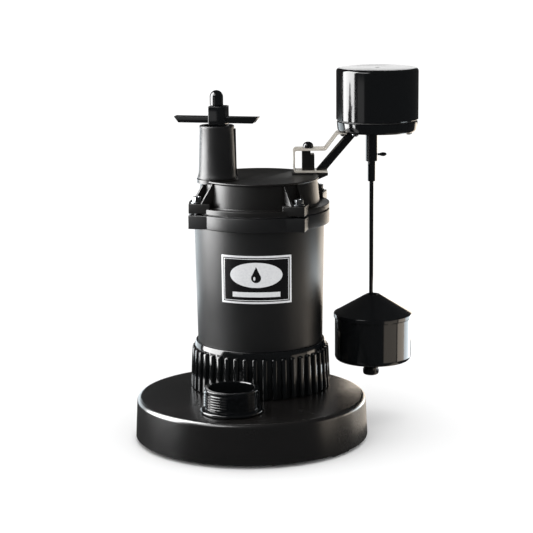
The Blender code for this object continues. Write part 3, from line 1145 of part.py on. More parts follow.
# ---- Float switch --------------------------------------------------------------------------
def make_switch_case(switch_axis):
    """The round switch case. Its shapes are centred on the case's own axis."""
    rod_x = ROD_REACH - SWITCH_REACH
    pivot_x = PIVOT_REACH - SWITCH_REACH
    profile = [(0, SWITCH_INSIDE), (SPIGOT_RADIUS - SWITCH_WALL, SWITCH_INSIDE)]
    profile += [(SPIGOT_RADIUS - SWITCH_WALL, SWITCH_SEAM + SWITCH_SPIGOT)]
    profile += [(SPIGOT_RADIUS, SWITCH_SEAM + SWITCH_SPIGOT), (SPIGOT_RADIUS, SWITCH_SEAM)]
    profile += [(SWITCH_BASE_RADIUS, SWITCH_SEAM), (SWITCH_FOOT_RADIUS, SWITCH_BOTTOM + SWITCH_CHAMFER)]
    profile += [(SWITCH_FOOT_RADIUS - SWITCH_CHAMFER, SWITCH_BOTTOM), (0, SWITCH_BOTTOM)]
    base = build("switch_base", turned(profile, STEPS_MEDIUM), "gloss_black", switch_axis)
    boss = rod(BOSS_RADIUS, BOSS_BOTTOM, SWITCH_BOTTOM + OVERLAP)
    fuse(base, moved(boss, (rod_x, 0, 0)), "boss")
    cheeks = []
    for side in (-1, 1):
        near, far = CHEEK_INSIDE, CHEEK_INSIDE + CHEEK_THICKNESS
        spans = sorted((side * near, side * far))
        x_low = pivot_x - CHEEK_BACK
        cheeks.append(box(x_low, x_low + CHEEK_LENGTH, *spans, SWITCH_INSIDE - OVERLAP, CHEEK_TOP))
    fuse(base, gathered(cheeks), "cheeks")
    screw_x = STRAP_REACH + STRAP_TAB / 2 + OVERLAP - SWITCH_REACH
    holes = [moved(rod(BOSS_BORE, BOSS_BOTTOM - OVERLAP, SWITCH_INSIDE + OVERLAP), (rod_x, 0, 0))]
    for angle in SWITCH_SCREW_ANGLES:
        bore = SWITCH_SCREW_SHANK + SCREW_ROOM
        hole = rod(bore, SWITCH_BOTTOM - OVERLAP, SWITCH_INSIDE + OVERLAP, STEPS_TINY)
        holes.append(moved(hole, polar(SWITCH_SCREW_CIRCLE, angle)))
    tip = STRAP_TAB_MID - STRAP_THICKNESS / 2 + BRACKET_SCREW_LENGTH
    for side in (-1, 1):
        hole = rod(BRACKET_SCREW_SHANK + GAP, SWITCH_BOTTOM - OVERLAP, tip + GAP, STEPS_TINY)
        holes.append(moved(hole, (screw_x, side * BRACKET_SCREW_SPACING / 2, 0)))
    carve(base, gathered(holes), "holes")
    reach = CHEEK_INSIDE + CHEEK_THICKNESS + OVERLAP
    pin_outline = arc((pivot_x, PIVOT_HEIGHT), LEVER_PIN + GAP, 0, 2 * pi, 12)[:-1]
    pin_hole = upright(prism(pin_outline, -reach, reach))
    carve(base, pin_hole, "pin_hole")

    seal_low = SWITCH_SEAM + GAP
    seal_radius = SWITCH_BASE_RADIUS - 2 * GAP
    seal = ring(SPIGOT_RADIUS + GAP, seal_radius, seal_low, seal_low + SEAL_RING_THICKNESS)
    build("switch_seal", seal, "rubber", switch_axis)

    inner = SWITCH_RADIUS - SWITCH_WALL
    rim_middle = (SWITCH_RADIUS - SWITCH_RIM, SWITCH_TOP - SWITCH_RIM)
    profile = [(0, SWITCH_TOP), *arc(rim_middle, SWITCH_RIM, pi / 2, 0, 4), (SWITCH_RADIUS, CAP_LOW)]
    profile += [(inner, CAP_LOW), (inner, SWITCH_TOP - SWITCH_FLOOR), (0, SWITCH_TOP - SWITCH_FLOOR)]
    cap = build("switch_cap", turned(profile, STEPS_MEDIUM), "gloss_black", switch_axis)
    boss_low = SWITCH_SEAM + SWITCH_SPIGOT + OVERLAP
    bosses, pilots = [], []
    for angle in SWITCH_SCREW_ANGLES:
        place = polar(SWITCH_SCREW_CIRCLE, angle)
        boss = rod(CAP_BOSS_RADIUS, boss_low, SWITCH_TOP - SWITCH_FLOOR + OVERLAP, STEPS_TINY)
        bosses.append(moved(boss, place))
        pilot_top = SWITCH_BOTTOM + SWITCH_SCREW_LENGTH + OVERLAP
        pilot = rod(SWITCH_SCREW_SHANK + GAP, boss_low - OVERLAP, pilot_top, STEPS_TINY)
        pilots.append(moved(pilot, place))
    fuse(cap, gathered(bosses), "bosses")
    carve(cap, gathered(pilots), "pilots")

    top = SWITCH_BOTTOM - GAP
    low = top - SWITCH_SCREW_HEAD
    for number, angle in enumerate(SWITCH_SCREW_ANGLES, 1):
        profile = [(0, top + SWITCH_SCREW_LENGTH), (SWITCH_SCREW_SHANK, top + SWITCH_SCREW_LENGTH)]
        profile += [(SWITCH_SCREW_SHANK, top), (SWITCH_SCREW_RADIUS, top)]
        profile += [(SWITCH_SCREW_RADIUS * 0.8, low), (0, low)]
        screw = moved(turned(profile, STEPS_TINY), polar(SWITCH_SCREW_CIRCLE, angle))
        build(f"switch_screw_{number}", screw, "zinc", switch_axis)


def make_guide_pin(rod_axis):
    """A short pin with a rounded head, which stands out of the guide boss along the run."""
    start = BOSS_RADIUS + GAP
    head = start + PIN_NECK
    swell = PIN_HEAD_RADIUS - PIN_RADIUS
    profile = [(0, start), (PIN_RADIUS, start), (PIN_RADIUS, head)]
    for share in (0.25, 0.5, 0.75):
        profile.append((PIN_RADIUS + swell * sin(pi * share), head + PIN_HEAD_LENGTH * share))
    profile += [(PIN_RADIUS * 0.6, head + PIN_HEAD_LENGTH), (0, head + PIN_HEAD_LENGTH)]
    pin = lengthwise(turned(profile, STEPS_TINY))
    build("guide_pin", moved(pin, (0, 0, PIN_HEIGHT)), "gloss_black", rod_axis)


def make_switch_works(switch_frame, pivot_axis, plunger_axis):
    """The lever, plunger and snap switch inside the case. The lever is drawn from its pivot."""
    half = LEVER_WIDTH / 2
    arm = box(0, PIVOT_ARM + LEVER_TAIL, -half, half, -LEVER_THICKNESS / 2, LEVER_THICKNESS / 2)
    lever = build("switch_lever", arm, "stainless", pivot_axis)
    hub = upright(prism(arc((0, 0), LEVER_HUB, 0, 2 * pi, 14)[:-1], -half + GAP, half - GAP))
    fuse(lever, hub, "hub")
    pin_outline = arc((0, 0), LEVER_PIN + GAP, 0, 2 * pi, 12)[:-1]
    bore = upright(prism(pin_outline, -half - OVERLAP, half + OVERLAP))
    carve(lever, bore, "bore")

    reach = CHEEK_INSIDE + CHEEK_THICKNESS + GAP
    pin = upright(prism(arc((PIVOT_REACH, PIVOT_HEIGHT), LEVER_PIN, 0, 2 * pi, 12)[:-1], -reach, reach))
    build("lever_pin", pin, "steel", switch_frame)

    x_low = PIVOT_REACH - SNAP_BACK
    half = CHEEK_INSIDE - GAP
    body = box(x_low, x_low + SNAP_LENGTH, -half, half, SNAP_BOTTOM, SNAP_BOTTOM + SNAP_HEIGHT)
    snap = build("snap_switch", body, "works_plastic", switch_frame)
    plunger_top = SNAP_BOTTOM + 3 * MM
    bore_top = plunger_top + PLUNGER_TRAVEL + OVERLAP
    bore = rod(PLUNGER_RADIUS + GAP, SNAP_BOTTOM - OVERLAP, bore_top, STEPS_TINY)
    carve(snap, moved(bore, (PIVOT_REACH + PLUNGER_ARM, 0, 0)), "bore")
    profile = [(0, plunger_top), (PLUNGER_RADIUS, plunger_top)]
    profile += [(PLUNGER_RADIUS, PLUNGER_LOW + PLUNGER_RADIUS)]
    profile += [(PLUNGER_TIP, PLUNGER_LOW), (0, PLUNGER_LOW)]
    build("switch_plunger", turned(profile, STEPS_TINY), "works_plastic", plunger_axis)


def make_rod(rod_axis):
    shape = rod(ROD_RADIUS, STOP_BOTTOM + 2 * MM, ROD_TOP, STEPS_TINY)
    build("float_rod", shape, "gloss_black", rod_axis)
    bore = ROD_RADIUS + GAP
    sleeve = ring(bore, SLEEVE_RADIUS, SLEEVE_BOTTOM, SLEEVE_TOP, STEPS_SMALL)
    build("rod_sleeve", sleeve, "gloss_black", rod_axis)
    profile = [(0, STOP_BOTTOM + 2 * MM - GAP), (bore, STOP_BOTTOM + 2 * MM - GAP), (bore, STOP_TOP)]
    profile += [(STOP_RADIUS, STOP_TOP), (STOP_RADIUS, STOP_BOTTOM + 1.5 * MM)]
    profile += [(STOP_RADIUS - 1.2 * MM, STOP_BOTTOM), (0, STOP_BOTTOM)]
    build("rod_end_stop", turned(profile, STEPS_SMALL), "gloss_black", rod_axis)


def make_float(float_axis):
    """A closed float in two halves: a cup with a tube up its middle, and a cone over it."""
    corner = arc((FLOAT_RADIUS - FLOAT_CORNER, FLOAT_LOW + FLOAT_CORNER), FLOAT_CORNER, 0, -pi / 2, 3)
    tube = FLOAT_BORE + FLOAT_WALL
    floor = FLOAT_LOW + FLOAT_WALL
    inner = FLOAT_RADIUS - FLOAT_WALL
    profile = [(FLOAT_BORE, FLOAT_SEAM), (tube, FLOAT_SEAM), (tube, floor), (inner, floor)]
    profile += [(inner, FLOAT_SEAM), (FLOAT_RADIUS, FLOAT_SEAM), *corner]
    profile += [(FLOAT_HUB, FLOAT_LOW), (FLOAT_HUB, STOP_TOP + GAP), (FLOAT_BORE, STOP_TOP + GAP)]
    build("float_lower", turned(profile, STEPS_MEDIUM), "gloss_black", float_axis)

    low = FLOAT_SEAM + GAP
    top = low + FLOAT_CONE
    lip = low + FLOAT_LIP
    round_off = FLOAT_LIP / 3
    slope = (top - lip) / (FLOAT_LIP_RADIUS - round_off - FLOAT_PEAK)
    profile = [(FLOAT_BORE, top - OVERLAP), (FLOAT_PEAK - 0.6 * MM, top), (FLOAT_PEAK, top)]
    profile += [(FLOAT_LIP_RADIUS - round_off, lip), (FLOAT_LIP_RADIUS, lip - round_off)]
    profile += [(FLOAT_LIP_RADIUS, low), (inner, low)]
    profile += [(tube, low + (inner - tube) * slope), (tube, low), (FLOAT_BORE, low)]
    build("float_upper", turned(profile, STEPS_MEDIUM), "gloss_black", float_axis)


def main():
    clear_scene()
    run = polar(1.0, RUN_ANGLE)
    post = Vector((*MOTOR_PLACE, 0)) + polar(POST_OFFSET, POST_ANGLE)
    tower = Vector((*MOTOR_PLACE, 0)) + polar(TOWER_OFFSET, TOWER_ANGLE)
    motor_axis = empty("motor_axis", (*MOTOR_PLACE, 0))
    rotor_axis = empty("rotor_axis", (*MOTOR_PLACE, 0))
    discharge_axis = empty("discharge_axis", (*NIPPLE_PLACE, 0))
    tower_axis = empty("tower_axis", tower)
    switch_frame = empty("switch_frame", post, RUN_ANGLE)
    switch_axis = empty("switch_axis", post + run * SWITCH_REACH, RUN_ANGLE)
    rod_axis = empty("rod_axis", post + run * ROD_REACH, RUN_ANGLE)
    float_axis = empty("float_axis", post + run * (ROD_REACH + FLOAT_PLAY), RUN_ANGLE)
    pivot = post + run * PIVOT_REACH + Vector((0, 0, PIVOT_HEIGHT))
    pivot_axis = empty("lever_axis", pivot, RUN_ANGLE)
    plunger_axis = empty("plunger_axis", post + run * (PIVOT_REACH + PLUNGER_ARM), RUN_ANGLE)

    make_base_shell()
    make_strainer()
    make_pump_chamber()
    make_nipple(discharge_axis)
    make_collar(motor_axis)
    make_impeller(rotor_axis)
    make_shaft(rotor_axis)
    make_shaft_seal(rotor_axis, motor_axis)
    make_housing(motor_axis)
    make_motor(motor_axis)
    make_cover(motor_axis, post[:2])
    make_cover_screws(motor_axis)
    make_tower(tower_axis)
    make_handle(tower_axis)
    make_gland(motor_axis)
    make_nameplate(motor_axis)
    make_bracket(switch_frame)
    make_switch_case(switch_axis)
    make_guide_pin(rod_axis)
    make_switch_works(switch_frame, pivot_axis, plunger_axis)
    make_rod(rod_axis)
    make_float(float_axis)


main()
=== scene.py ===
"""The visual model of a submersible sump pump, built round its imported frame.

Every length is in metres, in the frame's own coordinates: +Z up, the discharge nipple towards -Y and
the float switch towards +X.
"""

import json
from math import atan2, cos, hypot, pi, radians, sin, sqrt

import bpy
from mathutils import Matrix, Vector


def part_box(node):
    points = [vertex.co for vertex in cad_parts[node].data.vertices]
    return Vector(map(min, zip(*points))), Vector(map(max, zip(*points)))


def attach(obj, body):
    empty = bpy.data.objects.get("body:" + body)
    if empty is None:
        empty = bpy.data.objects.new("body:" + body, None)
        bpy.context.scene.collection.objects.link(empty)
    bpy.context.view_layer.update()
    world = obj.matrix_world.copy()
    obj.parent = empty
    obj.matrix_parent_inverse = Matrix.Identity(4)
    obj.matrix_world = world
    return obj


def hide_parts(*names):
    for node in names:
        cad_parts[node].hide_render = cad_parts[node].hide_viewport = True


bl_info = {
    "name": "Sump Pump",
    "version": (1, 0, 0),
    "blender": (4, 5, 0),
    "location": "3D View > Sidebar > Sump Pump",
    "description": "Builds the finished surfaces of a submersible sump pump on its packed frame",
    "category": "Object",
}

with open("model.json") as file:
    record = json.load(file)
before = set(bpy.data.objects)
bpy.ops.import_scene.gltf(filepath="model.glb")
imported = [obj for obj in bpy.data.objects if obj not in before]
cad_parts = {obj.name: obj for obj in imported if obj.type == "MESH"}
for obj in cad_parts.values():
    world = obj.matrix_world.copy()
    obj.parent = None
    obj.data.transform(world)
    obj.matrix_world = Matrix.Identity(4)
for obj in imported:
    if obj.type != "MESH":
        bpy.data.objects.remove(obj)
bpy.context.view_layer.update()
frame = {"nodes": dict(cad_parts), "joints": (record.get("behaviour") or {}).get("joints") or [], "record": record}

MM = 0.001
JOINTS = {joint["name"]: joint for joint in frame["joints"]}
BODY_OF = {
    node: body
    for body, nodes in frame["record"]["behaviour"]["bodies"].items()
    for node in nodes
}


# ---- Places read from the frame ------------------------------------------------------------
def low(node):
    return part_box(node)[0]


def high(node):
    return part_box(node)[1]


def middle(node):
    return (low(node) + high(node)) / 2


def upright_axis(node):
    """The upright axis through the middle of a round node, at the floor."""
    centre = middle(node)
    return Vector((centre.x, centre.y, 0))


def reach(node):
    """The outer radius of a round node."""
    return (high(node).x - low(node).x) / 2


MOTOR = Vector((*JOINTS["rotor_spin"]["pos_m"][:2], 0))
PIVOT_LINE = JOINTS["lever_swing"]["axis"]
RUN_ANGLE = atan2(PIVOT_LINE[0], -PIVOT_LINE[1])
POST = upright_axis("post_stud")
TOWER = upright_axis("handle_stud")


# ---- What a user would change --------------------------------------------------------------
def length_setting(name, description, default):
    return bpy.props.FloatProperty(name=name, description=description, default=default, unit="LENGTH")


def angle_setting(name, description, default):
    return bpy.props.FloatProperty(name=name, description=description, default=default, subtype="ANGLE")


def colour_setting(name, description, default):
    return bpy.props.FloatVectorProperty(
        name=name, description=description, default=default, subtype="COLOR", min=0, max=1
    )


class PumpSizes(bpy.types.PropertyGroup):
    facets: bpy.props.IntProperty(
        name="Facets", description="Facets round a large turned piece", default=128, min=32, max=256
    )
    edge: length_setting("Edge", "Rounding of a moulded edge", 0.5 * MM)
    base_rim: length_setting("Base rim", "Rounding of the base's upper rim", 4.0 * MM)
    rib_width: length_setting("Rib width", "Width of a rib on the collar", 4.2 * MM)
    ribs: bpy.props.IntProperty(name="Ribs", description="Ribs round the collar", default=44, min=8, max=72)
    thread_pitch: length_setting(
        "Thread pitch", "Rise of the outlet's thread in one turn", 25.4 / 11.5 * MM
    )
    thread_depth: length_setting("Thread depth", "Depth of the outlet's thread", 1.25 * MM)
    bend: length_setting("Bend", "Radius of the bracket's bends, at mid thickness", 2.4 * MM)


class PumpFinishes(bpy.types.PropertyGroup):
    gloss: colour_setting("Gloss black", "Polished black plastic", (0.0035, 0.004, 0.0045))
    satin: colour_setting("Satin black", "Coating of the motor housing", (0.0060, 0.0065, 0.0072))
    base: colour_setting("Base black", "Moulded plastic of the base", (0.0045, 0.0042, 0.0042))
    cover: colour_setting("Cover black", "Moulded plastic of the cover", (0.0055, 0.0050, 0.0046))
    steel: colour_setting("Stainless", "Bracket sheet", (0.80, 0.76, 0.68))
    plate: colour_setting("Plate silver", "Bright print on the nameplate", (0.80, 0.81, 0.82))
    plate_field: colour_setting("Plate field", "Dark field of the nameplate", (0.004, 0.004, 0.005))


class PumpStudio(bpy.types.PropertyGroup):
    turn: angle_setting("Turn", "Camera's turn round the pump", radians(13.2))
    distance: length_setting("Distance", "Camera's distance along the floor", 1.561)
    height: length_setting("Height", "Camera's height", 0.457)
    pitch: angle_setting("Pitch", "How far the camera looks down", 0.193)
    yaw: angle_setting("Yaw", "How far the camera looks to the right", 0.009)
    roll: angle_setting("Roll", "Camera's lean", radians(-0.45))
    lens: bpy.props.FloatProperty(name="Lens", description="Focal length in mm", default=123.6)
    floor: colour_setting("Floor", "Colour of the floor", (0.93, 0.93, 0.93))


def sizes():
    return bpy.context.scene.pump_sizes


def finishes():
    return bpy.context.scene.pump_finishes


# ---- Modelling -----------------------------------------------------------------------------
def select_only(*objects):
    bpy.ops.object.select_all(action="DESELECT")
    for obj in objects:
        obj.select_set(True)
    bpy.context.view_layer.objects.active = objects[0]


def added(name):
    """The primitive just added, renamed, with its place and size in its mesh."""
    obj = bpy.context.object
    obj.name = obj.data.name = name
    select_only(obj)
    bpy.ops.object.transform_apply(location=True, rotation=True, scale=True)
    return obj


def facing_out(obj):
    """Turns the faces of a closed mesh outwards."""
    select_only(obj)
    bpy.ops.object.mode_set(mode="EDIT")
    bpy.ops.mesh.select_all(action="SELECT")
    bpy.ops.mesh.normals_make_consistent(inside=False)
    bpy.ops.object.mode_set(mode="OBJECT")
    return obj


def arc(centre, radius, start, end, steps):
    return [
        (
            centre[0] + radius * cos(start + (end - start) * i / steps),
            centre[1] + radius * sin(start + (end - start) * i / steps),
        )
        for i in range(steps + 1)
    ]


def lathe(name, profile, place=Vector(), facets=None):
    """Turns a profile of (radius, height) about the upright axis through place.

    A ring is extruded and resized from point to point. A profile with both ends on the axis makes a
    solid piece, and any other is closed into a loop.
    """
    solid = profile[0][0] == 0
    points = profile[1:] if solid else profile + profile[:1]
    radius, height = points[0]
    bpy.ops.object.select_all(action="DESELECT")
    bpy.ops.mesh.primitive_circle_add(
        vertices=facets or sizes().facets, radius=radius, fill_type="NGON" if solid else "NOTHING",
        location=(place.x, place.y, height),
    )
    obj = added(name)
    bpy.ops.object.mode_set(mode="EDIT")
    bpy.ops.mesh.select_all(action="SELECT")
    for next_radius, next_height in points[1:]:
        if next_radius == 0 and next_height == height:
            break
        rise = {"value": (0, 0, next_height - height)}
        bpy.ops.mesh.extrude_region_move(TRANSFORM_OT_translate=rise)
        if next_radius == 0:
            bpy.ops.mesh.merge(type="CENTER")
            break
        scale = next_radius / radius
        bpy.ops.transform.resize(
            value=(scale, scale, 1), center_override=(place.x, place.y, next_height)
        )
        radius, height = next_radius, next_height
    bpy.ops.mesh.select_all(action="SELECT")
    if not solid:
        bpy.ops.mesh.remove_doubles(threshold=0.0005 * MM)
    bpy.ops.object.mode_set(mode="OBJECT")
    return facing_out(obj)


def block(name, low_corner, high_corner):
    """A cuboid between two corners."""
    low_corner, high_corner = Vector(low_corner), Vector(high_corner)
    bpy.ops.object.select_all(action="DESELECT")
    bpy.ops.mesh.primitive_cube_add(
        size=1, location=(low_corner + high_corner) / 2, scale=high_corner - low_corner
    )
    return added(name)


def peg(name, radius, bottom, top, place=Vector(), facets=None):
    return lathe(name, [(0, bottom), (radius, bottom), (radius, top), (0, top)], place, facets)


def slab(name, outline, thickness):
    """An outline in (x, z), extruded both ways along Y to a thickness. It starts as a flat polygon."""
    bpy.ops.object.select_all(action="DESELECT")
    bpy.ops.mesh.primitive_circle_add(vertices=len(outline), radius=1, fill_type="NGON")
    obj = added(name)
    for vert, (x, z) in zip(obj.data.vertices, outline):
        vert.co = (x, -thickness / 2, z)
    bpy.ops.object.mode_set(mode="EDIT")
    bpy.ops.mesh.select_all(action="SELECT")
    bpy.ops.mesh.extrude_region_move(TRANSFORM_OT_translate={"value": (0, thickness, 0)})
    bpy.ops.object.mode_set(mode="OBJECT")
    return facing_out(obj)


def placed(obj, at=(0, 0, 0), turn=0.0):
    """The object turned about +Z, then moved, with both kept in its mesh."""
    obj.matrix_world = Matrix.Translation(at) @ Matrix.Rotation(turn, 4, "Z") @ obj.matrix_world
    select_only(obj)
    bpy.ops.object.transform_apply(location=True, rotation=True, scale=True)
    return obj


def laid(obj, axis, at=(0, 0, 0)):
    """The object turned a quarter about X or Y, so that what was up lies down, and then moved."""
    angle = -pi / 2 if axis == "X" else pi / 2
    obj.matrix_world = Matrix.Translation(at) @ Matrix.Rotation(angle, 4, axis)
    select_only(obj)
    bpy.ops.object.transform_apply(location=True, rotation=True, scale=True)
    return obj


def copied(obj, name):
    twin = obj.copy()
    twin.data = obj.data.copy()
    twin.name = twin.data.name = name
    bpy.context.collection.objects.link(twin)
    return twin


def applied(obj, modifier):
    select_only(obj)
    bpy.ops.object.modifier_apply(modifier=modifier.name)
    return obj


def softened(obj, width=None, segments=3, angle=30):
    """Rounds every edge that is sharper than an angle."""
    bevel = obj.modifiers.new("round", "BEVEL")
    bevel.width = width or sizes().edge
    bevel.segments = segments
    bevel.limit_method = "ANGLE"
    bevel.angle_limit = radians(angle)
    bevel.miter_outer = "MITER_ARC"
    return applied(obj, bevel)


def combined(obj, others, operation):
    for other in others:
        modifier = obj.modifiers.new("combine", "BOOLEAN")
        modifier.operation = operation
        modifier.object = other
        modifier.solver = "EXACT"
        applied(obj, modifier)
        bpy.data.objects.remove(other)
    return obj


def fused(obj, *others):
    return combined(obj, others, "UNION")


def drilled(obj, *others):
    return combined(obj, others, "DIFFERENCE")


def joined(objects, name):
    """Separate bodies gathered in one object."""
    select_only(*objects)
    bpy.ops.object.join()
    obj = bpy.context.object
    obj.name = name
    return obj


def finished(obj, material, *nodes, angle=35):
    """Smooths a piece, gives it its finish, and lets it ride in place of its frame nodes."""
    select_only(obj)
    bpy.ops.object.shade_smooth_by_angle(angle=radians(angle))
    obj.data.materials.clear()
    obj.data.materials.append(material)
    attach(obj, BODY_OF[nodes[0]])
    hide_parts(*nodes)
    return obj


# ---- Materials -----------------------------------------------------------------------------
class Wire:
    """One output of a material's nodes. Sums written with it add Math nodes."""

    def __init__(self, finish, socket):
        self.finish = finish
        self.socket = socket

    def math(self, operation, *values):
        return self.finish.node("ShaderNodeMath", {"operation": operation}, *values)

    def __add__(self, other):
        return self.math("ADD", self, other)

    def __radd__(self, other):
        return self.math("ADD", other, self)

    def __sub__(self, other):
        return self.math("SUBTRACT", self, other)

    def __rsub__(self, other):
        return self.math("SUBTRACT", other, self)

    def __mul__(self, other):
        return self.math("MULTIPLY", self, other)

    def __rmul__(self, other):
        return self.math("MULTIPLY", other, self)

    def __truediv__(self, other):
        return self.math("DIVIDE", self, other)

    def __abs__(self):
        return self.math("ABSOLUTE", self)

    def __lt__(self, other):
        return self.math("LESS_THAN", self, other)

    def __gt__(self, other):
        return self.math("GREATER_THAN", self, other)

    def smaller(self, other):
        return self.math("MINIMUM", self, other)

    def larger(self, other):
        return self.math("MAXIMUM", self, other)


class Finish:
    """A material under construction, round its one Principled shader."""

    def __init__(self, name, colour, roughness, metallic=0.0):
        self.material = bpy.data.materials.new(name)
        self.material.use_nodes = True
        self.tree = self.material.node_tree
        self.shader = self.tree.nodes["Principled BSDF"]
        self.feed(**{"Base Color": (*colour, 1.0), "Roughness": roughness, "Metallic": metallic})

    def link(self, socket, value):
        if isinstance(value, Wire):
            self.tree.links.new(value.socket, socket)
        else:
            socket.default_value = value

    def node(self, kind, settings, *values, output=0, **named):
        """Adds a node: its settings first, then the values or links of its sockets."""
        node = self.tree.nodes.new(kind)
        stops = settings.pop("stops", ())
        for key, value in settings.items():
            setattr(node, key, value)
        if stops:
            ramp = node.color_ramp.elements
            while len(ramp) < len(stops):
                ramp.new(0.5)
            for element, (position, colour) in zip(ramp, stops):
                element.position = position
                element.color = (*colour, 1.0)
        for socket, value in zip(node.inputs, values):
            self.link(socket, value)
        for name, value in named.items():
            self.link(node.inputs[name.replace("_", " ")], value)
        return Wire(self, node.outputs[output])

    def feed(self, **sockets):
        for name, value in sockets.items():
            self.link(self.shader.inputs[name.replace("_", " ")], value)

    def place(self):
        return self.node("ShaderNodeTexCoord", {}, output="Object")

    def noise(self, scale, detail=2.0, roughness=0.5, place=None):
        return self.node(
            "ShaderNodeTexNoise", {}, Vector=place or self.place(), Scale=scale, Detail=detail,
            Roughness=roughness, output="Fac",
        )

    def mapped(self, scale, place=None):
        """The place stretched along its axes, for a grain."""
        return self.node("ShaderNodeMapping", {}, Vector=place or self.place(), Scale=scale)

    def spread(self, value, from_low, from_high, to_low, to_high):
        return self.node("ShaderNodeMapRange", {}, value, from_low, from_high, to_low, to_high)

    def blend(self, factor, first, second):
        """A colour between two others."""
        node = self.tree.nodes.new("ShaderNodeMix")
        node.data_type = "RGBA"
        self.link(node.inputs["Factor"], factor)
        self.link(node.inputs["A"], first if isinstance(first, Wire) else (*first, 1.0))
        self.link(node.inputs["B"], second if isinstance(second, Wire) else (*second, 1.0))
        return Wire(self, node.outputs["Result"])

    def bump(self, height, strength, distance):
        normal = self.node("ShaderNodeBump", {}, Strength=strength, Distance=distance, Height=height)
        self.feed(Normal=normal)

    def facing_up(self):
        """1 where the surface faces up and 0 where it is upright or faces down."""
        normal = self.node("ShaderNodeNewGeometry", {}, output="Normal")
        split = self.node("ShaderNodeSeparateXYZ", {}, normal, output="Z")
        return self.spread(split, 0.6, 0.95, 0.0, 1.0)


MATERIALS = {}


def kept(make):
    """Makes a material once, and hands out the same one afterwards."""

    def fetch(*details):
        key = (make.__name__, *details)
        if key not in MATERIALS:
            MATERIALS[key] = make(*details).material
        return MATERIALS[key]

    return fetch


@kept
def gloss_black():
    """Polished plastic with a faint ripple, and dust that dulls it in patches."""
    finish = Finish("gloss_black", finishes().gloss, 0.1)
    cloud = finish.noise(35.0, 3.0)
    speck = finish.noise(900.0, 2.0, 0.7)
    finish.feed(Roughness=finish.spread(cloud, 0.35, 0.7, 0.07, 0.14) + 0.03 * speck)
    dust = finish.spread(speck, 0.66, 0.76, 0.0, 0.35) * finish.facing_up()
    finish.feed(Base_Color=finish.blend(dust, finishes().gloss, (0.05, 0.048, 0.045)))
    finish.bump(finish.noise(60.0, 1.0), 0.05, 0.3 * MM)
    return finish


@kept
def satin_black():
    """Baked coating with an orange peel."""
    finish = Finish("satin_black", finishes().satin, 0.36)
    peel = finish.noise(750.0, 2.0, 0.6)
    cloud = finish.noise(22.0, 4.0)
    finish.feed(Roughness=finish.spread(cloud, 0.3, 0.7, 0.32, 0.42) + 0.04 * peel)
    tint = finish.spread(cloud, 0.35, 0.75, 0.0, 1.0)
    finish.feed(Base_Color=finish.blend(tint, finishes().satin, (0.009, 0.009, 0.0095)))
    finish.bump(peel, 0.12, 0.15 * MM)
    return finish


@kept
def moulded_black(which, sheen, shine=0.5):
    """Plain moulded plastic with a spark-eroded grain, with a little wear and dust on top, where a warm sheen is
    also painted into the colour.
    """
    colour = tuple(getattr(finishes(), which))
    finish = Finish(f"moulded_{which}", colour, sheen)
    finish.feed(Specular_IOR_Level=shine)
    grain = finish.noise(1400.0, 2.0, 0.6)
    cloud = finish.noise(14.0, 5.0, 0.6)
    # Paler, warmer tone for the upward faces in cloudy patches: part dust and wear, part a painted warm sheen on
    # top.
    warm = (colour[0] * 2.2, colour[1] * 1.9, colour[2] * 1.6)
    dust_and_top_sheen = finish.spread(cloud, 0.4, 0.75, 0.0, 1.0) * finish.facing_up()
    finish.feed(Base_Color=finish.blend(dust_and_top_sheen, colour, warm))
    finish.feed(Roughness=finish.spread(cloud, 0.3, 0.7, sheen - 0.04, sheen + 0.04) + 0.04 * grain)
    scratches = finish.noise(90.0, 3.0, 0.7, finish.mapped((1.0, 9.0, 1.0)))
    finish.bump(grain + 0.3 * scratches, 0.14, 0.2 * MM)
    return finish


@kept
def sheet_steel():
    """Stainless sheet with a grain along its length."""
    finish = Finish("sheet_steel", finishes().steel, 0.34, 0.4)
    turned = finish.node(
        "ShaderNodeMapping", {}, Vector=finish.place(), Rotation=(0, 0, -RUN_ANGLE)
    )
    grain = finish.noise(240.0, 3.0, 0.6, finish.mapped((0.12, 6.0, 0.12), turned))
    stain = finish.noise(70.0, 4.0)
    finish.feed(Roughness=finish.spread(grain, 0.3, 0.7, 0.22, 0.38))
    tint = finish.spread(stain, 0.4, 0.7, 0.0, 1.0)
    finish.feed(Base_Color=finish.blend(tint, finishes().steel, (0.66, 0.60, 0.52)))
    finish.bump(grain, 0.08, 0.1 * MM)
    return finish


@kept
def metal(name, colour, roughness, grain_scale):
    """A bare or plated metal with cloudy wear and a fine grain."""
    finish = Finish(name, colour, roughness, 1.0)
    cloud = finish.noise(120.0, 3.0)
    grain = finish.noise(grain_scale, 2.0, 0.7)
    darker = tuple(channel * 0.7 for channel in colour)
    finish.feed(Base_Color=finish.blend(finish.spread(cloud, 0.4, 0.7, 0.0, 1.0), colour, darker))
    finish.feed(Roughness=finish.spread(grain, 0.3, 0.7, roughness - 0.06, roughness + 0.08))
    finish.bump(grain, 0.1, 0.1 * MM)
    return finish


@kept
def plain(name, colour, roughness, grain_scale):
    """A dull non-metal: rubber, carbon, ceramic or moulded plastic inside the casings."""
    finish = Finish(name, colour, roughness)
    grain = finish.noise(grain_scale, 3.0, 0.6)
    paler = tuple(min(1.0, channel * 1.5 + 0.004) for channel in colour)
    finish.feed(Base_Color=finish.blend(finish.spread(grain, 0.45, 0.8, 0.0, 1.0), colour, paler))
    finish.feed(Roughness=finish.spread(grain, 0.3, 0.7, roughness - 0.05, roughness + 0.05))
    finish.bump(grain, 0.15, 0.2 * MM)
    return finish


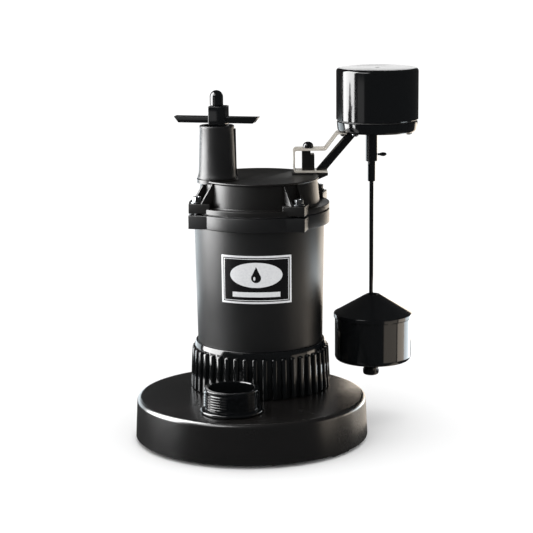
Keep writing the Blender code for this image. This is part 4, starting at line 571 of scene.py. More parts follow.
@kept
def laminations():
    """A stack of thin sheets, seen as fine level lines."""
    finish = Finish("laminations", (0.22, 0.23, 0.25), 0.5, 1.0)
    height = finish.node("ShaderNodeSeparateXYZ", {}, finish.place(), output="Z")
    sheet = finish.node("ShaderNodeMath", {"operation": "PINGPONG"}, height, 0.5 * MM) / (0.5 * MM)
    seam = sheet > 0.7
    finish.feed(Base_Color=finish.blend(seam, (0.24, 0.25, 0.27), (0.08, 0.08, 0.09)))
    finish.bump(sheet, 0.4, 0.1 * MM)
    return finish


@kept
def windings():
    """Enamelled wire, as bundles of fine strands."""
    finish = Finish("windings", (0.55, 0.22, 0.08), 0.35, 0.9)
    strands = finish.noise(500.0, 2.0, 0.5, finish.mapped((1.0, 1.0, 0.15)))
    shade = finish.spread(strands, 0.4, 0.65, 0, 1)
    finish.feed(Base_Color=finish.blend(shade, (0.62, 0.27, 0.1), (0.2, 0.07, 0.03)))
    finish.bump(strands, 0.5, 0.4 * MM)
    return finish


PLATE_WIDTH = 63.0 * MM
PLATE_HEIGHT = 42.0 * MM
PLATE_FACING = radians(-80.3)
PLATE_THICKNESS = 0.55 * MM


@kept
def plate_print():
    """The nameplate: a double border, an oval with a falling drop in it, and a blank bar below."""
    colours = finishes()
    finish = Finish("plate_print", colours.plate, 0.3)
    place = finish.node("ShaderNodeTexCoord", {}, output="UV")
    across = finish.node("ShaderNodeSeparateXYZ", {}, place, output="X")
    up = finish.node("ShaderNodeSeparateXYZ", {}, place, output="Y")
    x = (across - 0.5) * (PLATE_WIDTH / MM)
    y = (up - 0.5) * (PLATE_HEIGHT / MM)
    edge = (PLATE_WIDTH / MM / 2 - abs(x)).smaller(PLATE_HEIGHT / MM / 2 - abs(y))
    border = (edge < 1.7).larger((edge > 2.6) * (edge < 3.1))

    def oval(centre_x, centre_y, radius_x, radius_y):
        right = (x - centre_x) / radius_x
        above = (y - centre_y) / radius_y
        return (right * right + above * above) < 1.0

    drop_round = oval(0.0, 1.7, 4.3, 4.3)
    taper = (9.6 - (y - 2.0)) * 0.5
    drop_point = (abs(x) < taper * 0.92) * (y > 3.2) * (y < 11.2)
    drop = drop_round.larger(drop_point)
    gleam = oval(-1.5, 1.2, 0.9, 1.7)
    badge = oval(0.0, 4.2, 23.0, 11.0) * (1.0 - drop) + gleam
    bar = (abs(x) < 21.0) * (abs(y + 13.0) < 2.2)
    bright = border.larger(badge).larger(bar)
    fleck = finish.noise(600.0, 2.0)
    silver = finish.blend(finish.spread(fleck, 0.35, 0.7, 0, 1), colours.plate, (0.72, 0.73, 0.75))
    finish.feed(Base_Color=finish.blend(bright, colours.plate_field, silver))
    finish.feed(Metallic=bright * 0.25)
    finish.feed(Roughness=0.22 + bright * 0.12 + 0.05 * fleck)
    finish.bump(bright, 0.2, 0.08 * MM)
    return finish


def zinc():
    return metal("zinc", (0.30, 0.31, 0.32), 0.32, 700.0)


def black_rubber():
    return plain("black_rubber", (0.014, 0.014, 0.015), 0.62, 500.0)


# ---- Base, outlet and collar ---------------------------------------------------------------
BASE_WALL = 3.0 * MM
BASE_DRAFT = 1.5 * MM
BASE_TOP = 3.5 * MM
OUTLET = upright_axis("discharge_nipple")
OUTLET_BORE = 19.6 * MM
SPIGOT_RADIUS = 22.6 * MM
SHAFT_OPENING = 30.0 * MM
POST_BORE = 2.4 * MM
GAP = 0.3 * MM


def make_base():
    bottom, top, radius = low("base_shell").z, high("base_shell").z, reach("base_shell")
    rim = sizes().base_rim
    shoulder = radius - BASE_DRAFT
    profile = [(0, top), *arc((shoulder - rim, top - rim), rim, pi / 2, 0, 10)]
    profile += [(radius, bottom + 0.4 * MM), (radius - 0.5 * MM, bottom), (radius - BASE_WALL, bottom)]
    profile += [(shoulder - BASE_WALL, top - BASE_TOP), (0, top - BASE_TOP)]
    base = lathe("base_cup", profile)
    for hole, place in ((SHAFT_OPENING, MOTOR), (SPIGOT_RADIUS + GAP, OUTLET)):
        drilled(base, peg("opening", hole, top - 2 * BASE_TOP, top + BASE_TOP, place))
    finished(base, moulded_black("base", 0.22, 1.0), "base_shell")


def make_outlet():
    """The nipple: a bead, a tapered thread cut as one helix, and a rounded lip."""
    size = sizes()
    seat, top = high("base_shell").z + GAP, high("discharge_nipple").z
    spigot = low("discharge_nipple").z
    bead = reach("discharge_nipple")
    bead_half = 1.4 * MM
    crest = 24.0 * MM
    root = crest - size.thread_depth
    thread_low, thread_top = seat + 2.6 * bead_half, top - 1.7 * MM
    taper = 1 / 32

    def narrowed(radius, height):
        return radius - (height - thread_low) * taper

    lip = narrowed(crest, top) - 0.15 * MM
    profile = [(OUTLET_BORE, top - 0.6 * MM), (OUTLET_BORE + 0.6 * MM, top), (lip - 1.2 * MM, top)]
    profile += arc((lip - 0.8 * MM, top - 0.8 * MM), 0.8 * MM, pi / 2 * 0.9, -pi / 4, 6)
    profile += [(narrowed(root, thread_top), thread_top - 0.4 * MM), (root, thread_low)]
    profile += arc((bead - bead_half, seat + bead_half), bead_half, pi / 2, -pi / 2, 8)
    profile += [(SPIGOT_RADIUS, seat), (SPIGOT_RADIUS, spigot), (OUTLET_BORE, spigot)]
    nipple = lathe("threaded_nipple", profile, OUTLET, 96)

    half = size.thread_pitch / 2 * 0.98
    bpy.ops.object.select_all(action="DESELECT")
    start = thread_low + half * 0.6
    bpy.ops.mesh.primitive_circle_add(
        vertices=4, radius=half, location=(root - 0.1 * MM, 0, start), rotation=(pi / 2, 0, 0)
    )
    thread = added("thread")
    for vert in thread.data.vertices:
        if vert.co.x > root:
            vert.co.x = crest
    screw = thread.modifiers.new("turns", "SCREW")
    screw.steps = screw.render_steps = 64
    screw.screw_offset = size.thread_pitch
    screw.iterations = int((thread_top - start - half) / size.thread_pitch)
    screw.use_merge_vertices = False
    applied(thread, screw)
    count = len(thread.data.vertices)
    for ends in (range(4), range(count - 4, count)):
        for vert in thread.data.vertices:
            vert.select = vert.index in ends
        bpy.ops.object.mode_set(mode="EDIT")
        bpy.ops.mesh.select_mode(type="VERT")
        bpy.ops.mesh.edge_face_add()
        bpy.ops.object.mode_set(mode="OBJECT")
    for vert in thread.data.vertices:
        radius = hypot(vert.co.x, vert.co.y)
        vert.co.xy = vert.co.xy.normalized() * narrowed(radius, vert.co.z)
    fused(nipple, placed(facing_out(thread), OUTLET))
    finished(nipple, gloss_black(), "discharge_nipple")


def make_collar():
    """The collar: a stepped ring and one rounded rib, copied all the way round."""
    size = sizes()
    bottom, top = low("ribbed_collar").z, high("ribbed_collar").z
    outer = reach("ribbed_collar")
    inner, body, ledge = 50.2 * MM, 58.4 * MM, 66.0 * MM
    mouth = 55.84 * MM
    shoulder = top - 5.0 * MM
    profile = [(mouth, top), (mouth + 1.6 * MM, top), (body, shoulder + 1.2 * MM), (body, bottom)]
    profile += [(inner, bottom), (inner, ledge), (mouth, ledge)]
    ring = softened(lathe("rib_ring", profile, MOTOR), 0.4 * MM)
    half = size.rib_width / 2
    rib = block("rib", (body - 1.5 * MM, -half, bottom), (outer, half, shoulder))
    for vert in rib.data.vertices:
        if vert.co.x > body and vert.co.z > bottom + MM:
            vert.co.x -= 1.5 * MM
            vert.co.z -= 0.8 * MM
    softened(rib, 1.25 * MM, 4)
    ribs = [rib] + [copied(rib, f"rib_{i}") for i in range(1, size.ribs)]
    for i, each in enumerate(ribs):
        placed(each, MOTOR, 2 * pi * i / size.ribs)
    fused(ring, joined(ribs, "ribs"))
    finished(ring, gloss_black(), "ribbed_collar", angle=40)


# ---- Motor housing and cover ---------------------------------------------------------------
FLANGE_RADIUS = 62.0 * MM
FLANGE_CORNER = 51.4 * MM
FLANGE_DEPTH = 11.9 * MM
SCREW_PLACE = 45.0 * MM
EAR_HOLE = 2.6 * MM
HOUSING_LOW = 55.3 * MM
HOUSING_HIGH = 57.4 * MM


def corner_places():
    return [
        MOTOR + Vector((right * SCREW_PLACE, back * SCREW_PLACE, 0))
        for right, back in ((1, 1), (-1, 1), (-1, -1), (1, -1))
    ]


def housing_radius(height):
    """The can's outer radius, which grows evenly from its foot to its flange."""
    bottom, flange = low("motor_housing").z, high("motor_housing").z - FLANGE_DEPTH
    return HOUSING_LOW + (HOUSING_HIGH - HOUSING_LOW) * (height - bottom) / (flange - bottom)


def make_housing():
    bottom, top = low("motor_housing").z, high("motor_housing").z
    flange = top - FLANGE_DEPTH
    wall = 3.0 * MM
    floor = bottom + 3.7 * MM
    shaft_hole = 8.0 * MM
    pocket = reach("lower_bearing") + GAP
    pocket_outside = pocket + 3.2 * MM
    pocket_low, pocket_top = low("lower_bearing").z - GAP, high("lower_bearing").z + GAP
    profile = [(shaft_hole, bottom), (HOUSING_LOW, bottom), (HOUSING_HIGH, flange - 0.8 * MM)]
    profile += [(HOUSING_HIGH + 0.8 * MM, flange), (FLANGE_RADIUS, flange), (FLANGE_RADIUS, top)]
    profile += [(housing_radius(top) - wall, top), (housing_radius(floor) - wall, floor)]
    profile += [(pocket_outside, floor), (pocket_outside, pocket_top), (pocket, pocket_top)]
    profile += [(pocket, pocket_low), (shaft_hole, pocket_low)]
    can = softened(lathe("motor_can", profile, MOTOR), 0.5 * MM, 3)
    for i in range(4):
        ear = block("ear", (30.0 * MM, 30.0 * MM, flange), (FLANGE_CORNER, FLANGE_CORNER, top))
        fused(can, placed(softened(ear, 0.6 * MM), MOTOR, i * pi / 2))
    cleared = flange - 2 * MM
    inside = [(0, top + MM), (housing_radius(top) - wall, top + MM)]
    inside += [(housing_radius(cleared) - wall, cleared), (0, cleared)]
    drilled(can, lathe("inside", inside, MOTOR))
    holes = [peg("hole", EAR_HOLE, flange + 2 * MM, top + MM, place, 24) for place in corner_places()]
    drilled(can, joined(holes, "holes"))
    finished(can, satin_black(), "motor_housing")


def make_cover():
    """The cover: a low drum with a thin brim, a round flange with four raised corners, two webs over
    each corner, and the lugs under the tower and the bracket."""
    bottom = low("top_cover").z
    brim = high("top_cover").z - 0.7 * MM
    roof, wall = 3.4 * MM, 3.2 * MM
    brim_radius, brim_depth = 52.9 * MM, 2.4 * MM
    wall_low, wall_high = 53.6 * MM, 51.4 * MM
    flange = bottom + 4.0 * MM
    ear_top = bottom + 8.5 * MM
    dish = 0.6 * MM
    profile = [(0, brim - dish), (48.6 * MM, brim - dish), (49.6 * MM, brim)]
    profile += arc((brim_radius - 0.9 * MM, brim - 0.9 * MM), 0.9 * MM, pi / 2, -pi / 4, 6)
    profile += [(wall_high, brim - brim_depth), (wall_low - 0.3 * MM, flange + 0.9 * MM)]
    profile += [(wall_low + 0.7 * MM, flange)]
    profile += arc((FLANGE_RADIUS - 0.5 * MM, flange - 0.5 * MM), 0.5 * MM, pi / 2, 0, 3)
    profile += [(FLANGE_RADIUS, bottom), (wall_low - wall, bottom)]
    profile += [(wall_high - wall, brim - roof), (0, brim - roof)]
    cover = lathe("cover_moulding", profile, MOTOR)
    edge = FLANGE_CORNER - 0.25 * MM
    hollow = [(0, bottom - MM), (wall_low - wall, bottom - MM)]
    hollow += [(wall_high - wall, ear_top + MM), (0, ear_top + MM)]
    web_place = 6.65 * MM
    web_start, web_end = 49.6 * MM, edge * sqrt(2) - web_place - 2.4 * MM
    web = [(web_start, ear_top - 0.5 * MM), (web_end, ear_top - 0.5 * MM)]
    web += [(web_end, ear_top + 0.6 * MM), (52.3 * MM, brim - 1.9 * MM), (web_start, brim - 1.9 * MM)]
    for i in range(4):
        turn = i * pi / 2
        ear = softened(block("ear", (32.0 * MM, 32.0 * MM, bottom), (edge, edge, ear_top)), 0.6 * MM)
        corner = placed(ear, MOTOR, turn)
        fused(cover, drilled(corner, lathe("recess", hollow, MOTOR)))
        for side in (-web_place, web_place):
            plate = softened(slab("web", web, 2.2 * MM), 0.35 * MM, 2)
            placed(plate, (0, side, 0))
            fused(cover, placed(plate, MOTOR, turn + pi / 4))
    lug_low, lug_top, lug_radius = brim - roof + 0.5 * MM, brim + 0.7 * MM, 18.0 * MM
    lug = [(0, lug_low), (lug_radius, lug_low), (lug_radius, lug_top - 0.3 * MM)]
    lug += [(lug_radius - 0.4 * MM, lug_top), (0, lug_top)]
    fused(cover, lathe("tower_lug", lug, TOWER, 64))
    back, end = -14.6 * MM, 17.3 * MM
    inside = brim - roof
    outline = [
        (back, inside - 2 * MM), (-2 * MM, inside - 6 * MM), (end, brim - 1.3 * MM),
        (end, lug_top), (back, lug_top),
    ]
    foot = softened(slab("bracket_lug", outline, 20.6 * MM), 0.4 * MM, 2)
    fused(cover, placed(foot, POST, RUN_ANGLE))
    holes = [peg("hole", EAR_HOLE, bottom - MM, ear_top + MM, place, 24) for place in corner_places()]
    drilled(cover, joined(holes, "holes"))
    drilled(cover, peg("stud_hole", POST_BORE, inside + 1.3 * MM, brim + 2 * MM, POST, 24))
    inlet = laid(peg("inlet", 6.3 * MM, 0, 10 * MM, facets=48), "X", (0, 0, 0))
    drilled(cover, placed(inlet, (MOTOR.x, MOTOR.y + 48 * MM, middle("cord_gland").z)))
    finished(cover, moulded_black("cover", 0.32), "top_cover", angle=32)


def make_screws():
    """A hexagon-headed screw with a washer under its head, modelled once and copied to the corners."""
    bottom, top = low("cover_screw_1").z, high("cover_screw_1").z
    head_low = bottom + 17.0 * MM
    washer = reach("cover_screw_1") * 0.98
    shank, seat = 2.2 * MM, head_low + 1.2 * MM
    profile = [(0, bottom), (shank - 0.4 * MM, bottom), (shank, bottom + 0.6 * MM), (shank, head_low)]
    profile += [(washer, head_low), (washer, head_low + 0.7 * MM), (4.1 * MM, seat), (0, seat)]
    first = lathe("ear_screw_1", profile, facets=36)
    across_flats, head_depth = 7.0 * MM, 4.1 * MM
    bpy.ops.object.select_all(action="DESELECT")
    bpy.ops.mesh.primitive_cylinder_add(
        vertices=6, radius=across_flats / sqrt(3), depth=head_depth,
        location=(0, 0, top - head_depth / 2),
    )
    head = softened(added("head"), 0.3 * MM, 2)
    dimple = [(0, top + MM), (2.6 * MM, top + MM), (2.3 * MM, top - 0.4 * MM), (0, top - 0.4 * MM)]
    fused(first, drilled(head, lathe("dimple", dimple, facets=24)))
    screws = [first] + [copied(first, f"ear_screw_{i}") for i in (2, 3, 4)]
    for number, screw in enumerate(screws, 1):
        centre = upright_axis(f"cover_screw_{number}")
        placed(screw, centre, number * 0.7)
        finished(screw, zinc(), f"cover_screw_{number}")


# ---- Lifting tower and handle --------------------------------------------------------------
def make_tower():
    bottom, top = low("lifting_tower").z, high("lifting_tower").z
    bore, floor = 11.6 * MM, bottom + 12.0 * MM
    profile = [(0, bottom), (17.3 * MM, bottom), (17.4 * MM, bottom + 1.0 * MM)]
    profile += [(16.9 * MM, bottom + 2.2 * MM), (16.35 * MM, bottom + 4.5 * MM)]
    profile += [(16.1 * MM, bottom + 7.5 * MM), (14.95 * MM, top - 2.6 * MM)]
    profile += [(15.15 * MM, top - 2.2 * MM), (15.15 * MM, top - 0.5 * MM), (14.7 * MM, top)]
    profile += [(bore + 0.4 * MM, top), (bore, top - 0.4 * MM), (bore, floor), (0, floor)]
    tower = lathe("handle_tower", profile, TOWER, 96)
    outline = [
        (13.0 * MM, bottom + 1.0 * MM), (17.9 * MM, bottom + 1.0 * MM), (17.3 * MM, bottom + 4.0 * MM),
        (16.9 * MM, bottom + 9.0 * MM), (16.4 * MM, top - 3.0 * MM), (13.0 * MM, top - 3.0 * MM),
    ]
    rib = softened(slab("tower_rib", outline, 3.6 * MM), 0.5 * MM)
    fused(tower, placed(rib, TOWER, RUN_ANGLE))
    finished(tower, satin_black(), "lifting_tower")


def make_handle():
    """The slotted block, the channel that runs through it, and the stud and domed nut over both."""
    bar_low, bar_high = low("t_handle"), high("t_handle")
    block_top = high("handle_block").z
    block_low = high("lifting_tower").z + GAP
    half_x, half_y = 7.6 * MM, 7.5 * MM
    stud_bore = 2.8 * MM
    shift = 1.6 * MM
    body = block(
        "slotted_block", (TOWER.x + shift - half_x, TOWER.y - half_y, block_low),
        (TOWER.x + shift + half_x, TOWER.y + half_y, block_top),
    )
    softened(body, 0.7 * MM)
    spigot_low = low("handle_block").z
    collar, neck = 11.2 * MM, 7.2 * MM
    profile = [(0, spigot_low), (collar - 0.5 * MM, spigot_low), (collar, spigot_low + 0.6 * MM)]
    profile += [(collar, spigot_low + 3 * MM), (neck, spigot_low + 4 * MM)]
    profile += [(neck, block_low + MM), (0, block_low + MM)]
    fused(body, lathe("spigot", profile, TOWER, 64))
    slot_reach = 20 * MM
    slot = block(
        "slot", (TOWER.x - slot_reach, bar_low.y - GAP, bar_low.z - GAP),
        (TOWER.x + slot_reach, bar_high.y + GAP, bar_high.z + GAP),
    )
    stud_hole = peg("stud_hole", stud_bore, low("handle_stud").z - GAP, block_top + MM, TOWER, 32)
    drilled(body, slot, stud_hole)
    finished(body, gloss_black(), "handle_block")

    bar = block("grip_bar", bar_low, bar_high)
    height = bar_high.z - bar_low.z
    for vert in bar.data.vertices:
        if vert.co.z < middle("t_handle").z:
            vert.co.x -= 0.8 * height * (1 if vert.co.x > TOWER.x else -1)
    wall = 1.8 * MM
    channel = block(
        "channel", (bar_low.x - MM, bar_low.y + wall, bar_low.z - MM),
        (bar_high.x + MM, bar_high.y - wall, bar_high.z - wall),
    )
    softened(drilled(bar, channel), 0.45 * MM, 3)
    hole = peg("stud_hole", stud_bore, bar_low.z - MM, bar_high.z + MM, TOWER, 32)
    finished(drilled(bar, hole), gloss_black(), "t_handle")

    stud_low, stud_top = low("handle_stud").z, high("handle_stud").z
    stud = peg("threaded_stud", reach("handle_stud"), stud_low, stud_top, TOWER, 32)
    finished(softened(stud, 0.4 * MM, 2), zinc(), "handle_stud")

    bottom, top, radius = low("dome_nut").z, high("dome_nut").z, reach("dome_nut")
    edge = 0.4 * MM
    profile = [(0, bottom), (radius - edge, bottom), (radius, bottom + edge)]
    profile += [*arc((0, top - radius), radius, 0, radians(80), 12), (0, top)]
    nut = lathe("domed_nut", profile, TOWER, 64)
    bore = peg("bore", stud_bore, bottom - MM, stud_top + GAP, TOWER, 32)
    finished(drilled(nut, bore), gloss_black(), "dome_nut")


def make_inlet():
    """The rubber bush of the power inlet, with three grip rings round it."""
    box_low, box_high = low("cord_gland"), high("cord_gland")
    length = box_high.y - box_low.y
    collar = length - 8.0 * MM
    ring = 1.5 * MM
    profile = [(4.2 * MM, length - 0.5 * MM), (4.7 * MM, length), (5.6 * MM, length)]
    profile += [(6.1 * MM, length - 0.6 * MM)]
    for i in range(3):
        start = length - 1.2 * MM - i * 2 * ring
        swell = 6.6 * MM + i * 0.45 * MM
        neck = swell - 0.7 * MM
        profile += [(swell, start), (swell, start - 0.8 * ring)]
        profile += [(neck, start - ring), (neck, start - 1.7 * ring)]
    profile += [(7.95 * MM, collar + 0.6 * MM), (7.95 * MM, collar), (6.0 * MM, collar)]
    profile += [(6.0 * MM, 0), (4.2 * MM, 0)]
    bush = softened(lathe("inlet_bush", profile, facets=64), 0.2 * MM, 2)
    laid(bush, "X")
    placed(bush, (MOTOR.x, box_low.y, middle("cord_gland").z))
    finished(bush, black_rubber(), "cord_gland")


def make_nameplate():
    """A thin plate wrapped round the tapered can."""
    bottom, top = low("nameplate").z, high("nameplate").z
    bpy.ops.object.select_all(action="DESELECT")
    bpy.ops.mesh.primitive_grid_add(x_subdivisions=48, y_subdivisions=12, size=1)
    plate = added("blank_plate")
    for vert in plate.data.vertices:
        height = bottom + (vert.co.y + 0.5) * (top - bottom)
        radius = housing_radius(height) + GAP + 0.05 * MM
        angle = PLATE_FACING + vert.co.x * PLATE_WIDTH / (radius + GAP)
        vert.co = (MOTOR.x + radius * cos(angle), MOTOR.y + radius * sin(angle), height)
    facing_out(plate)
    outward = plate.data.polygons[0].normal.dot(plate.data.polygons[0].center - MOTOR) > 0
    solidify = plate.modifiers.new("thickness", "SOLIDIFY")
    solidify.thickness = PLATE_THICKNESS
    solidify.offset = 1.0 if outward else -1.0
    applied(plate, solidify)
    finished(plate, plate_print(), "nameplate")


# ---- Switch bracket ------------------------------------------------------------------------
def bent_strip(name, corners, thickness, width, bend):
    """A flat strip in the run's own (x, z) plane: its end face is extruded, and spun at each bend."""
    corners = [Vector(corner) for corner in corners]
    directions = [(b - a).normalized() for a, b in zip(corners, corners[1:])]
    first = directions[0]
    slant = atan2(-first.y, first.x)
    bpy.ops.object.select_all(action="DESELECT")
    bpy.ops.mesh.primitive_plane_add(
        size=1, location=(corners[0].x, 0, corners[0].y), rotation=(0, slant + pi / 2, 0)
    )
    bpy.context.object.scale = (thickness, width, 1)
    strip = added(name)
    bpy.ops.object.mode_set(mode="EDIT")
    bpy.ops.mesh.select_all(action="SELECT")
    here = corners[0]
    for i, direction in enumerate(directions):
        end = corners[i + 1]
        turn, cut = 0.0, 0.0
        if i + 1 < len(directions):
            after = directions[i + 1]
            turn = atan2(direction.x * after.y - direction.y * after.x, direction.dot(after))
            cut = bend * abs(sin(turn / 2) / cos(turn / 2))
        stretch = (end - direction * cut) - here
        bpy.ops.mesh.extrude_region_move(TRANSFORM_OT_translate={"value": (stretch.x, 0, stretch.y)})
        here = here + stretch
        if turn:
            side = Vector((-direction.y, direction.x)) * (1 if turn > 0 else -1)
            centre = here + side * bend
            bpy.ops.mesh.spin(
                steps=6, angle=abs(turn), center=(centre.x, 0, centre.y),
                axis=(0, 1 if turn > 0 else -1, 0),
            )
            here = end + directions[i + 1] * cut
    bpy.ops.mesh.select_all(action="SELECT")
    bpy.ops.mesh.remove_doubles(threshold=0.001 * MM)
    bpy.ops.object.mode_set(mode="OBJECT")
    return facing_out(strip)


def make_bracket():
    thick, width = 1.5 * MM, 20.0 * MM
    foot_z = low("switch_bracket").z + thick / 2
    tab_z = high("switch_bracket").z - thick / 2
    top_z = low("clamp_nut").z - GAP - thick / 2
    foot_end, back, shelf_end, tab_start, tab_end = (x * MM for x in (17.0, -12.6, 15.0, 26.0, 33.8))
    corners = [(foot_end, foot_z), (back, foot_z), (back, top_z), (shelf_end, top_z)]
    corners += [(tab_start, tab_z), (tab_end, tab_z)]
    strap = softened(bent_strip("bent_strap", corners, thick, width, sizes().bend), 0.25 * MM, 2)
    holes = [
        peg("hole", POST_BORE, foot_z - thick, foot_z + thick, facets=24),
        peg("hole", POST_BORE, top_z - thick, top_z + thick, facets=24),
    ]
    drilled(strap, *holes)
    finished(placed(strap, POST, RUN_ANGLE), sheet_steel(), "switch_bracket", angle=30)

    post_low, post_top = low("bracket_post").z, high("bracket_post").z
    side = 5.5 * MM
    post = block("square_post", (-side, -side, post_low), (side, side, post_top))
    notch = block("notch", (2.0 * MM, -8 * MM, post_top - 3.4 * MM), (8 * MM, 8 * MM, post_top + MM))
    softened(drilled(post, notch), 0.5 * MM)
    drilled(post, peg("bore", POST_BORE, post_low - MM, post_top + MM, facets=24))
    finished(placed(post, POST, RUN_ANGLE), moulded_black("cover", 0.32), "bracket_post")

    stud = peg("clamp_stud", reach("post_stud"), low("post_stud").z, high("post_stud").z, POST, 24)
    finished(softened(stud, 0.3 * MM, 2), zinc(), "post_stud")

    nut_low, nut_top, nut_radius = low("clamp_nut").z, high("clamp_nut").z, reach("clamp_nut")
    shoulder = nut_low + 1.4 * MM
    profile = [(0, nut_low), (nut_radius - 0.3 * MM, nut_low)]
    profile += [(nut_radius, nut_low + 0.3 * MM), (nut_radius, shoulder)]
    for i in range(1, 9):
        angle = radians(10 * i)
        profile.append((nut_radius * cos(angle), shoulder + (nut_top - shoulder) * sin(angle)))
    nut = lathe("round_nut", [*profile, (0, nut_top)], POST, 48)
    drilled(nut, peg("bore", POST_BORE, nut_low - MM, high("post_stud").z + GAP, POST, 24))
    finished(nut, gloss_black(), "clamp_nut")

    arm_low, arm_high = low("brace_arm").z, high("brace_arm").z
    half, foot, head = 4.6 * MM, 11.7 * MM, 40.5 * MM
    outline = [(foot - half, arm_low), (foot + half, arm_low)]
    outline += [(head + half, arm_high), (head - half, arm_high)]
    arm = softened(slab("slanted_arm", outline, 9.0 * MM), 0.8 * MM)
    finished(placed(arm, POST, RUN_ANGLE), gloss_black(), "brace_arm")

    for number in (1, 2):
        node = f"bracket_screw_{number}"
        finished(pan_screw(f"tab_screw_{number}", node, 1.8 * MM, 1.3 * MM), zinc(), node)


def pan_screw(name, node, head, shank):
    """A pan-headed screw whose head is underneath, with a cross cut in it."""
    bottom, top, radius = low(node).z, high(node).z, reach(node)
    axis = upright_axis(node)
    edge = radius * 0.99
    profile = [(0, bottom), (radius * 0.62, bottom), (radius * 0.88, bottom + head * 0.3)]
    profile += [(edge, bottom + head * 0.75), (edge, bottom + head), (shank, bottom + head)]
    profile += [(shank, top - 0.4 * MM), (shank * 0.7, top), (0, top)]
    screw = lathe(name, profile, axis, 32)
    for turn in (0, pi / 2):
        arm = radius * 0.55
        cut = block("cut", (-arm, -0.35 * MM, bottom - MM), (arm, 0.35 * MM, bottom + head * 0.55))
        drilled(screw, placed(cut, axis, turn + RUN_ANGLE))
    return screw


# ---- Float switch --------------------------------------------------------------------------
ROD = upright_axis("float_rod")
SWITCH = upright_axis("switch_cap")
FLOAT = upright_axis("float_lower")


def make_switch_case():
    bottom, top, radius = low("switch_cap").z, high("switch_cap").z, 36.4 * MM
    rim, wall = 3.0 * MM, 2.6 * MM
    profile = [(0, top - 0.25 * MM), (1.6 * MM, top - 0.25 * MM), (1.9 * MM, top)]
    profile += arc((radius - rim, top - rim), rim, pi / 2, 0, 10)
    profile += [(radius, bottom + 0.35 * MM), (radius - 0.35 * MM, bottom), (radius - wall, bottom)]
    profile += [(radius - wall, top - 3.0 * MM), (0, top - 3.0 * MM)]
    cap = lathe("switch_can", profile, SWITCH)
    boss_low, boss_top, pilot, boss = bottom + 4.0 * MM, top - 2.0 * MM, 1.7 * MM, 3.6 * MM
    outline = [(pilot, boss_low), (boss, boss_low), (boss, boss_top), (pilot, boss_top)]
    for number in (1, 2, 3):
        fused(cap, lathe("boss", outline, upright_axis(f"switch_screw_{number}"), 24))
    finished(cap, gloss_black(), "switch_cap")

    under, seam = high("switch_bracket").z + GAP, low("switch_seal").z - GAP
    inside, spigot = under + 3.0 * MM, 33.5 * MM
    spigot_top = seam + 4.5 * MM
    foot, edge = 35.0 * MM, 35.8 * MM
    profile = [(0, inside), (spigot - wall, inside), (spigot - wall, spigot_top), (spigot, spigot_top)]
    profile += [(spigot, seam), (edge - 0.3 * MM, seam), (edge, seam - 0.3 * MM)]
    profile += [(foot + 0.3 * MM, under + 2.4 * MM), (foot - 0.1 * MM, under + 1.2 * MM)]
    profile += [(foot - 0.7 * MM, under + 0.35 * MM), (foot - 1.6 * MM, under), (0, under)]
    base = lathe("switch_floor", profile, SWITCH)
    guide_low, guide = low("switch_base").z, 5.2 * MM
    profile = [(0, guide_low), (guide - 0.4 * MM, guide_low), (guide, guide_low + 0.4 * MM)]
    profile += [(guide, under - 1.2 * MM), (guide + 0.4 * MM, under - 0.4 * MM)]
    profile += [(guide + 1.2 * MM, under + 0.4 * MM), (0, under + 0.4 * MM)]
    fused(base, lathe("guide", profile, ROD, 48))
    pivot = Vector((*JOINTS["lever_swing"]["pos_m"][:2], 0))
    height = JOINTS["lever_swing"]["pos_m"][2]
    cheek_start, cheek_end, cheek_inside, cheek_outside = (x * MM for x in (-3.2, 13.8, 5.0, 7.4))
    cheek_top = high("switch_base").z
    for side in (-1, 1):
        near, far = sorted((side * cheek_inside, side * cheek_outside))
        cheek = block("cheek", (cheek_start, near, inside - MM), (cheek_end, far, cheek_top))
        fused(base, placed(softened(cheek, 0.4 * MM, 2), pivot, RUN_ANGLE))
    drilled(base, peg("bore", 3.9 * MM, guide_low - MM, inside + MM, ROD, 48))
    holes = [
        peg("hole", 1.8 * MM, under - MM, inside + MM, upright_axis(f"switch_screw_{number}"), 20)
        for number in (1, 2, 3)
    ]
    holes += [
        peg("hole", 1.6 * MM, under - MM, high(f"bracket_screw_{number}").z + GAP,
            upright_axis(f"bracket_screw_{number}"), 20)
        for number in (1, 2)
    ]
    drilled(base, joined(holes, "holes"))
    pin = laid(peg("pin_hole", 1.3 * MM, -9 * MM, 9 * MM, facets=24), "X")
    drilled(base, placed(pin, (pivot.x, pivot.y, height), RUN_ANGLE))
    finished(base, gloss_black(), "switch_base")

    for number in (1, 2, 3):
        node = f"switch_screw_{number}"
        finished(pan_screw(f"case_screw_{number}", node, 2.2 * MM, 1.4 * MM), zinc(), node)


